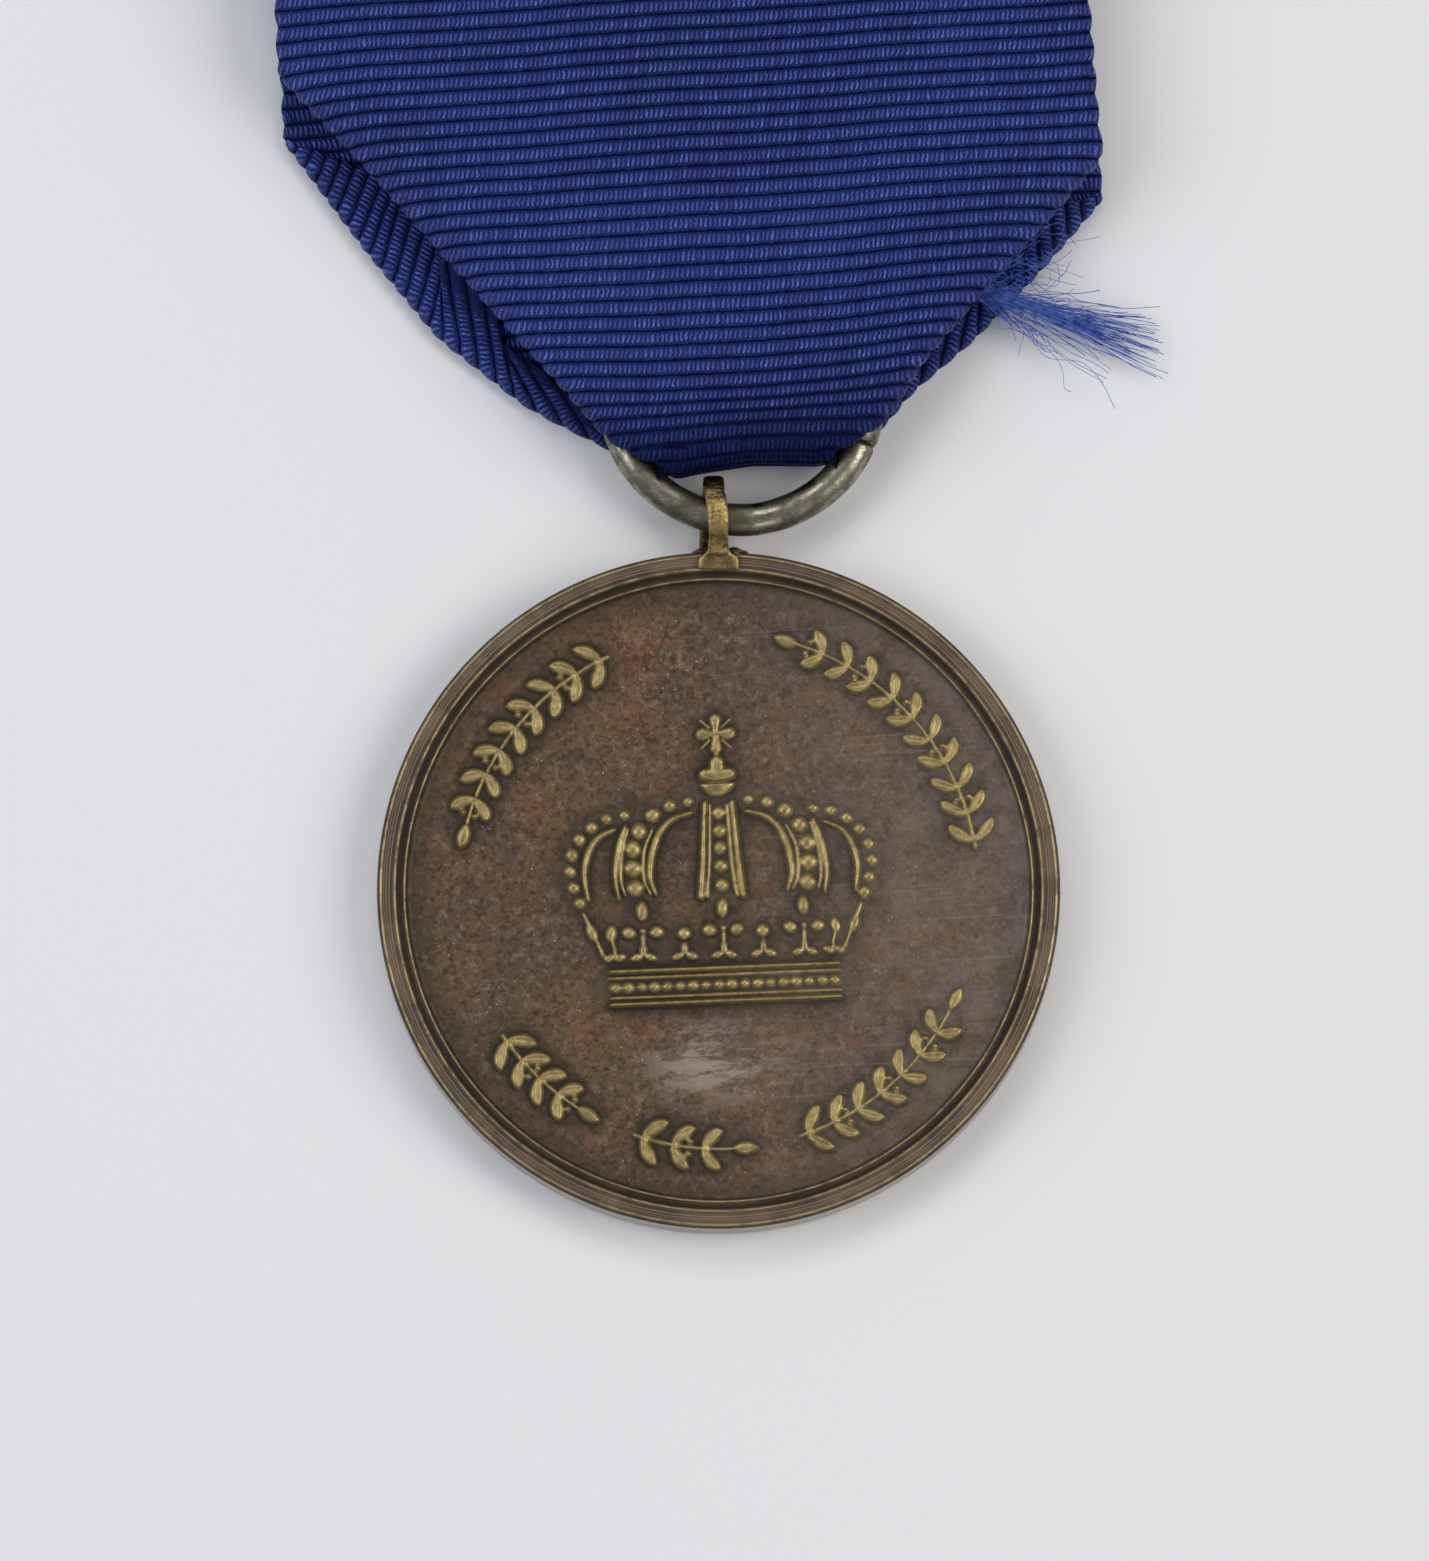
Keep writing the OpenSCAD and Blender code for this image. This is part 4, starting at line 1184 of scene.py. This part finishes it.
def ribbon_normals(strip, p):
    """Unit normals of the strip's middle surface, towards the outside of its run."""
    ds = np.gradient(p, axis=0)
    wide = np.gradient(p, axis=1)
    wide = np.where(np.linalg.norm(wide, axis=2)[:, :, None] < 1e-5, np.roll(wide, 1, 1), wide)
    n = np.cross(wide, ds)
    length = np.linalg.norm(n, axis=2)[:, :, None]
    outward = np.column_stack([np.zeros(strip.rows), strip.outward])
    n = np.where(length > 1e-7, n / np.maximum(length, 1e-9), outward[:, None, :])
    toward = np.einsum("rck,rk->rc", n, outward)
    folded = (p.shape[1] - PANEL_COLUMNS) // 2
    return -n if toward[:, folded:-folded].mean() < 0 else n


def shell_faces(rows, columns):
    """Faces of a closed sheet: outer side, inner side, and the strips that join them round the edge."""
    count = rows * columns
    faces = [grid_faces(rows, columns), grid_faces(rows, columns, count)[:, ::-1]]
    r, c = np.arange(rows - 1), np.arange(columns - 1)
    for a, along_edge, flip in ((r * columns, columns, 1), (r * columns + columns - 1, columns, -1),
                                (c, 1, -1), ((rows - 1) * columns + c, 1, 1)):
        quads = np.stack([a, a + along_edge, a + along_edge + count, a + count], 1)
        faces.append(quads[:, ::flip])
    return np.concatenate(faces)


def add_ribbon(material):
    """The ribbed strip, folded over the bar and through the ring, its sides folded behind it."""
    strip = Strip()
    u, p = lay_ribbon(strip)
    p = settle_ribbon(strip, u, p)
    n = ribbon_normals(strip, p)
    # ribs on both faces, thinning to nothing at the selvedge
    rib = np.abs(np.sin(math.pi * strip.s / RIB))[:, None] ** 0.6
    thick = (RIBBON_T / 2 - 0.14 * (1 - rib)) * np.ones_like(u)
    rim = np.clip((RIBBON_W / 2 - np.abs(u)) / SELVEDGE, 0, 1)
    thick *= np.sqrt(np.clip(1 - (1 - rim) ** 2, 0, 1)) * 0.98 + 0.02
    faces_out = [p + n * thick[:, :, None], p - n * thick[:, :, None]]
    vertices = np.concatenate([side.reshape(-1, 3) for side in faces_out]) + (HINGE[0], HINGE[1], 0.0)
    rows, columns = u.shape
    piece = make_piece("ribbon_strip", press_neck(vertices), shell_faces(rows, columns), material,
                       "ribbon_mount", "ribbon_grosgrain", replaces=("ribbon",))
    set_attribute(piece, "along", np.tile(np.repeat(strip.s / RIB, columns), 2))
    set_attribute(piece, "across", np.tile(u.ravel() / THREAD, 2))
    # painted shade: the neck darkens towards its tip, where the strip curves under
    set_attribute(piece, "neck", np.tile(np.repeat(np.exp(-(strip.away / 3.2) ** 2), columns), 2))
    clean_mesh(piece, 0.004)
    return piece


def clean_mesh(piece, distance):
    """Merges vertices closer than a distance in millimetres and drops the faces that this empties."""
    bm = bmesh.new()
    bm.from_mesh(piece.data)
    bmesh.ops.remove_doubles(bm, verts=bm.verts, dist=distance * MM)
    bmesh.ops.recalc_face_normals(bm, faces=bm.faces)
    bm.to_mesh(piece.data)
    bm.free()
    piece.data.shade_smooth()


def ribbon_material():
    """Silky ribbed weave: warp threads over each rib, with painted shade between ribs and threads and
    painted glints on the thread tops.
    """
    m = Material("grosgrain_blue", (0.015, 0.03, 0.17), 0.45, 0.0, 0.22)
    run = m.attribute("along")
    rib_phase = m.math("FRACT", run)
    crest = m.math("SINE", m.times(rib_phase, math.pi))
    stagger = m.times(m.math("FLOOR", run), 0.5)
    drift = m.math("ADD", m.times(m.noise(0.5, 2), 0.8), m.times(m.noise(3.5, 2), 0.9))
    slant = m.times(m.times(rib_phase, rib_phase), 0.5)
    place = m.math("ADD", m.math("ADD", m.attribute("across"), stagger), m.math("ADD", drift, slant))
    thread = m.math("FRACT", place)
    round_thread = m.math("SINE", m.times(thread, math.pi))
    height = m.times(round_thread, m.ramp(crest, 0.1, 0.75))
    corner = {"X": m.math("FLOOR", place), "Y": m.math("FLOOR", run)}
    cell = m.node("ShaderNodeCombineXYZ", corner).outputs[0]
    lot = m.node("ShaderNodeTexWhiteNoise", {"Vector": cell}, noise_dimensions="2D").outputs["Value"]
    fibre = m.noise(9.0, 3, 0.6, m.coords((3.0, 0.7, 1), 0))
    # base is the dye; the darkest colour is painted shade, and light is the painted highlight colour
    base, painted_shade, light = (0.0200, 0.037, 0.200), (0.0016, 0.0026, 0.024), (0.105, 0.165, 0.62)
    tone = m.ramp(m.noise(0.12, 3, 0.5), 0.35, 0.65)
    colour = m.mix(tone, base, (0.013, 0.027, 0.155))
    strand = m.times(m.ramp(fibre, 0.35, 0.6, 0.35, 1.0), m.ramp(lot, 0, 1, 0.25, 1.0))
    # painted highlight: glints on the thread tops, stronger on the lower half of each rib
    lower = m.ramp(rib_phase, 0.25, 0.72, 0.45, 1.0)
    glint = m.times(m.ramp(height, 0.66, 0.98), m.times(strand, lower))
    colour = m.mix(glint, colour, light)
    # painted shade: darkening in the grooves between ribs and between threads
    gap = m.ramp(m.math("ADD", crest, m.times(lot, 0.14)), 0.52, 0.16)
    seam = m.times(m.ramp(round_thread, 0.45, 0.05), 0.5)
    colour = m.mix(m.math("MAXIMUM", gap, seam), colour, painted_shade)
    # painted shade over the neck where it curves under
    colour = m.mix(m.times(m.attribute("neck"), 0.92), colour, painted_shade)
    m.set("Base Color", colour)
    m.set("Roughness", m.ramp(fibre, 0.3, 0.7, 0.34, 0.5))
    m.set("Specular IOR Level", m.ramp(m.math("MAXIMUM", gap, m.attribute("neck")), 0, 1, 0.24, 0.03))
    m.set("Sheen Weight", 0.03)
    m.set("Sheen Roughness", 0.4)
    m.set("Sheen Tint", (0.35, 0.45, 1.0, 1))
    bumpy = m.math("ADD", height, m.times(fibre, 0.25))
    m.set("Normal", m.bump(bumpy, 0.09, 1.0))
    return m.material


# ---------------------------------------------------------------- loose yarn and stitches

def yarn_filament(rng, kind):
    """Points of one crimped filament from the yarn's root: trunk, branch or stray."""
    t = np.linspace(0, 1, 30)
    trunk = np.array([(0, 0, 0), (1.7, -0.7, -0.2), (3.7, -1.5, -0.6), (5.7, -2.3, -1.0),
                      (8.2, -3.3, -1.3)])
    shares = np.linspace(0, 1, len(trunk))
    reach = rng.uniform(0.5, 1.0) if kind == "trunk" else rng.uniform(0.25, 0.7)
    line = np.stack([np.interp(t * reach, shares, trunk[:, k]) for k in range(3)], 1)
    if kind == "trunk":
        spread = np.array([0.3, rng.normal(0, 0.62), 0]) * (0.3 + reach)
        bend, wave = 2.0, rng.uniform(0.03, 0.1)
    elif kind == "branch":
        spread = np.array([1.2, rng.uniform(-2.6, -0.9), -0.8]) * reach * 1.6
        bend, wave = 0.8, rng.uniform(0.05, 0.16)
        line *= 0.5
    else:
        heading = rng.uniform(-1.4, 1.35)
        spread = np.array([math.cos(heading), math.sin(heading), 0]) * rng.uniform(1.6, 4.6)
        bend, wave = rng.uniform(0.9, 1.8), rng.uniform(0.12, 0.5)
        line *= rng.uniform(0.3, 0.9)
    turns, phase = rng.uniform(4, 12, 3), rng.uniform(0, 6.3, 3)
    wound = t * (0.7 + 0.6 * t)
    curl = wave * t[:, None] ** 0.8 * np.sin(np.outer(wound, turns) + phase)
    curl[:, 2] *= 0.5
    start = rng.normal(0, 0.15, 3) * (1, 1, 0.6)
    return start + line + np.outer(t ** bend, spread) + curl


def add_frayed_yarn(material):
    """Crimped filaments that leave the ribbon's right corner and fan out."""
    rng = np.random.default_rng(21)
    root = np.array([HINGE[0] + 11.7, HINGE[1] + 9.65, 1.95])
    parts = []
    for kind, count in (("trunk", 120), ("branch", 26), ("stray", 46)):
        for _ in range(count):
            line = root + yarn_filament(rng, kind)
            line[:, 2] = np.maximum(line[:, 2], rng.uniform(0.05, 0.5))
            parts.append(tube(line, rng.uniform(0.013, 0.022) * (1.0 if kind == "trunk" else 0.8), 4))
    make_piece("frayed_filaments", *join(parts), material, "ribbon_mount", "ribbon_yarn",
               replaces=("frayed_yarn",))


def yarn_material(name, colour, light, sheen):
    m = Material(name, colour, 0.5, 0.0, 0.3)
    m.set("Base Color", m.mix(m.ramp(m.noise(2.5, 3, 0.6), 0.35, 0.65), colour, light))
    m.set("Sheen Weight", sheen)
    m.set("Sheen Tint", (0.6, 0.7, 1.0, 1))
    m.set("Normal", m.bump(m.noise(14, 3, 0.6), 0.01, 0.5))
    return m.material


def stitch(path, radius):
    """A short run of two-ply thread with rounded ends."""
    path = np.asarray(path, float)
    travelled = np.concatenate([[0], np.cumsum(np.linalg.norm(np.diff(path, axis=0), axis=1))])
    even = np.linspace(0, travelled[-1], 34)
    points = np.stack([smooth_line(np.interp(even, travelled, path[:, k]), 2) for k in range(3)], 1)
    end = np.minimum(even, travelled[-1] - even)
    radii = radius * np.sqrt(np.clip(1 - (1 - np.clip(end / radius, 0, 1)) ** 2, 0.03, 1))
    return tube(points, radii, 14, lobes=4, twist=5.5, depth=0.22)


def hem_parts():
    """Slanted stitches across the hem, under and back up."""
    low, high = box_mm("hem_stitches")
    count, half = 14, 0.52
    pitch = (RIBBON_W - 4) / count
    rng = np.random.default_rng(4)
    middle, dip, under = (low[1] + high[1]) / 2, high[2] + 0.05, low[2] + 0.02
    for i in range(count):
        x = -RIBBON_W / 2 + 2 + (i + 0.5) * pitch
        lean = 0.22 + rng.uniform(-0.06, 0.06)
        path = [(lean, -half, dip), (lean * 0.7, -half * 0.75, under),
                (-lean * 0.7, half * 0.75, under), (-lean, half, dip)]
        yield stitch([(x + across, middle + up, z) for across, up, z in path], 0.13)


def brooch_parts():
    """Four pairs of triple stitches that hold the base, each from a hole over its edge."""
    low, high = box_mm("brooch_base")
    needle_low, needle_high = box_mm("brooch_needle")
    middle = (needle_low[1] + needle_high[1]) / 2
    half_w = (high[1] - low[1]) / 2
    under, above = high[2] - 0.62, high[2] - 0.02
    for x in (-10.5, -4, 4, 9):
        for side in (-1, 1):
            hole, outer = middle + side * (half_w - 0.9), middle + side * (half_w + 0.3)
            for k in (-1, 0, 1):
                lean = 0.16 * k
                yield stitch([(x + lean * 0.6, hole, above), (x + lean * 0.6, hole, under),
                              (x + lean, (hole + outer) / 2, under - 0.12 - 0.03 * k),
                              (x + lean * 1.7, outer, under), (x + lean * 1.7, outer, above)], 0.13)


def tack_parts():
    """Three slanted tacks on each folded corner of the back."""
    for side, x, y in ((-1, -10.5, 10.8), (1, 12.2, 9.8)):
        for i in range(3):
            angle = -side * math.radians(40)
            d = np.array([math.cos(angle), math.sin(angle), 0]) * 0.65
            centre = np.array([x + side * i * 1.1, y + i * 1.2, 0.0]) + (HINGE[0], HINGE[1], 0)
            yield stitch([centre - d + (0, 0, 0.25), centre - d * 0.8 + (0, 0, 0.12),
                          centre + d * 0.8 + (0, 0, 0.12), centre + d + (0, 0, 0.25)], 0.09)


def add_stitches(material):
    for name, parts, replaced in (("hem_threads", hem_parts(), "hem_stitches"),
                                  ("brooch_threads", brooch_parts(), "brooch_stitches"),
                                  ("tack_threads", tack_parts(), "gusset_tacks")):
        make_piece(name, *join(list(parts)), material, "ribbon_mount", "sewing_thread",
                   replaces=(replaced,))


# ---------------------------------------------------------------- brooch and bar

def dress_cad_node(name, material):
    node = frame["nodes"][name]
    for slot in node.material_slots:
        slot.material = material


def build():
    """Makes the pieces that replace CAD nodes and gives the other nodes their metals."""
    bronze = bronze_material()
    eye_metal = eye_material()
    tin = metal("solder_tin", (0.15, 0.115, 0.075), (0.05, 0.038, 0.025), 0.42, 0.7)
    nickel = metal("ring_nickel", (0.33, 0.305, 0.235), (0.09, 0.08, 0.055), 0.25, 0.85)
    add_disc(strike_design(), bronze)
    add_eye(eye_metal, tin)
    add_ring(nickel)
    add_ribbon(ribbon_material())
    add_frayed_yarn(yarn_material("yarn_blue", (0.028, 0.080, 0.38), (0.09, 0.18, 0.58), 0.1))
    add_stitches(yarn_material("thread_navy", (0.015, 0.026, 0.12), (0.04, 0.06, 0.22), 0.2))
    brooch = metal("brooch_brass", (0.62, 0.47, 0.20), (0.25, 0.17, 0.07), 0.26)
    plate = metal("tinplate", (0.55, 0.55, 0.53), (0.30, 0.30, 0.28), 0.35)
    steel = metal("spring_steel", (0.60, 0.60, 0.58), (0.30, 0.29, 0.27), 0.2, 0.2)
    catch = metal("catch_nickel", (0.62, 0.60, 0.54), (0.32, 0.30, 0.24), 0.24, 0.25)
    for name, material in (("stiffener_bar", plate), ("brooch_base", brooch), ("hinge_rivet", steel),
                           ("brooch_needle", steel), ("catch_housing", brooch), ("catch_barrel", catch)):
        dress_cad_node(name, material)


add_camera()
bpy.context.scene.view_settings.view_transform = "Standard"
add_stage()
build()
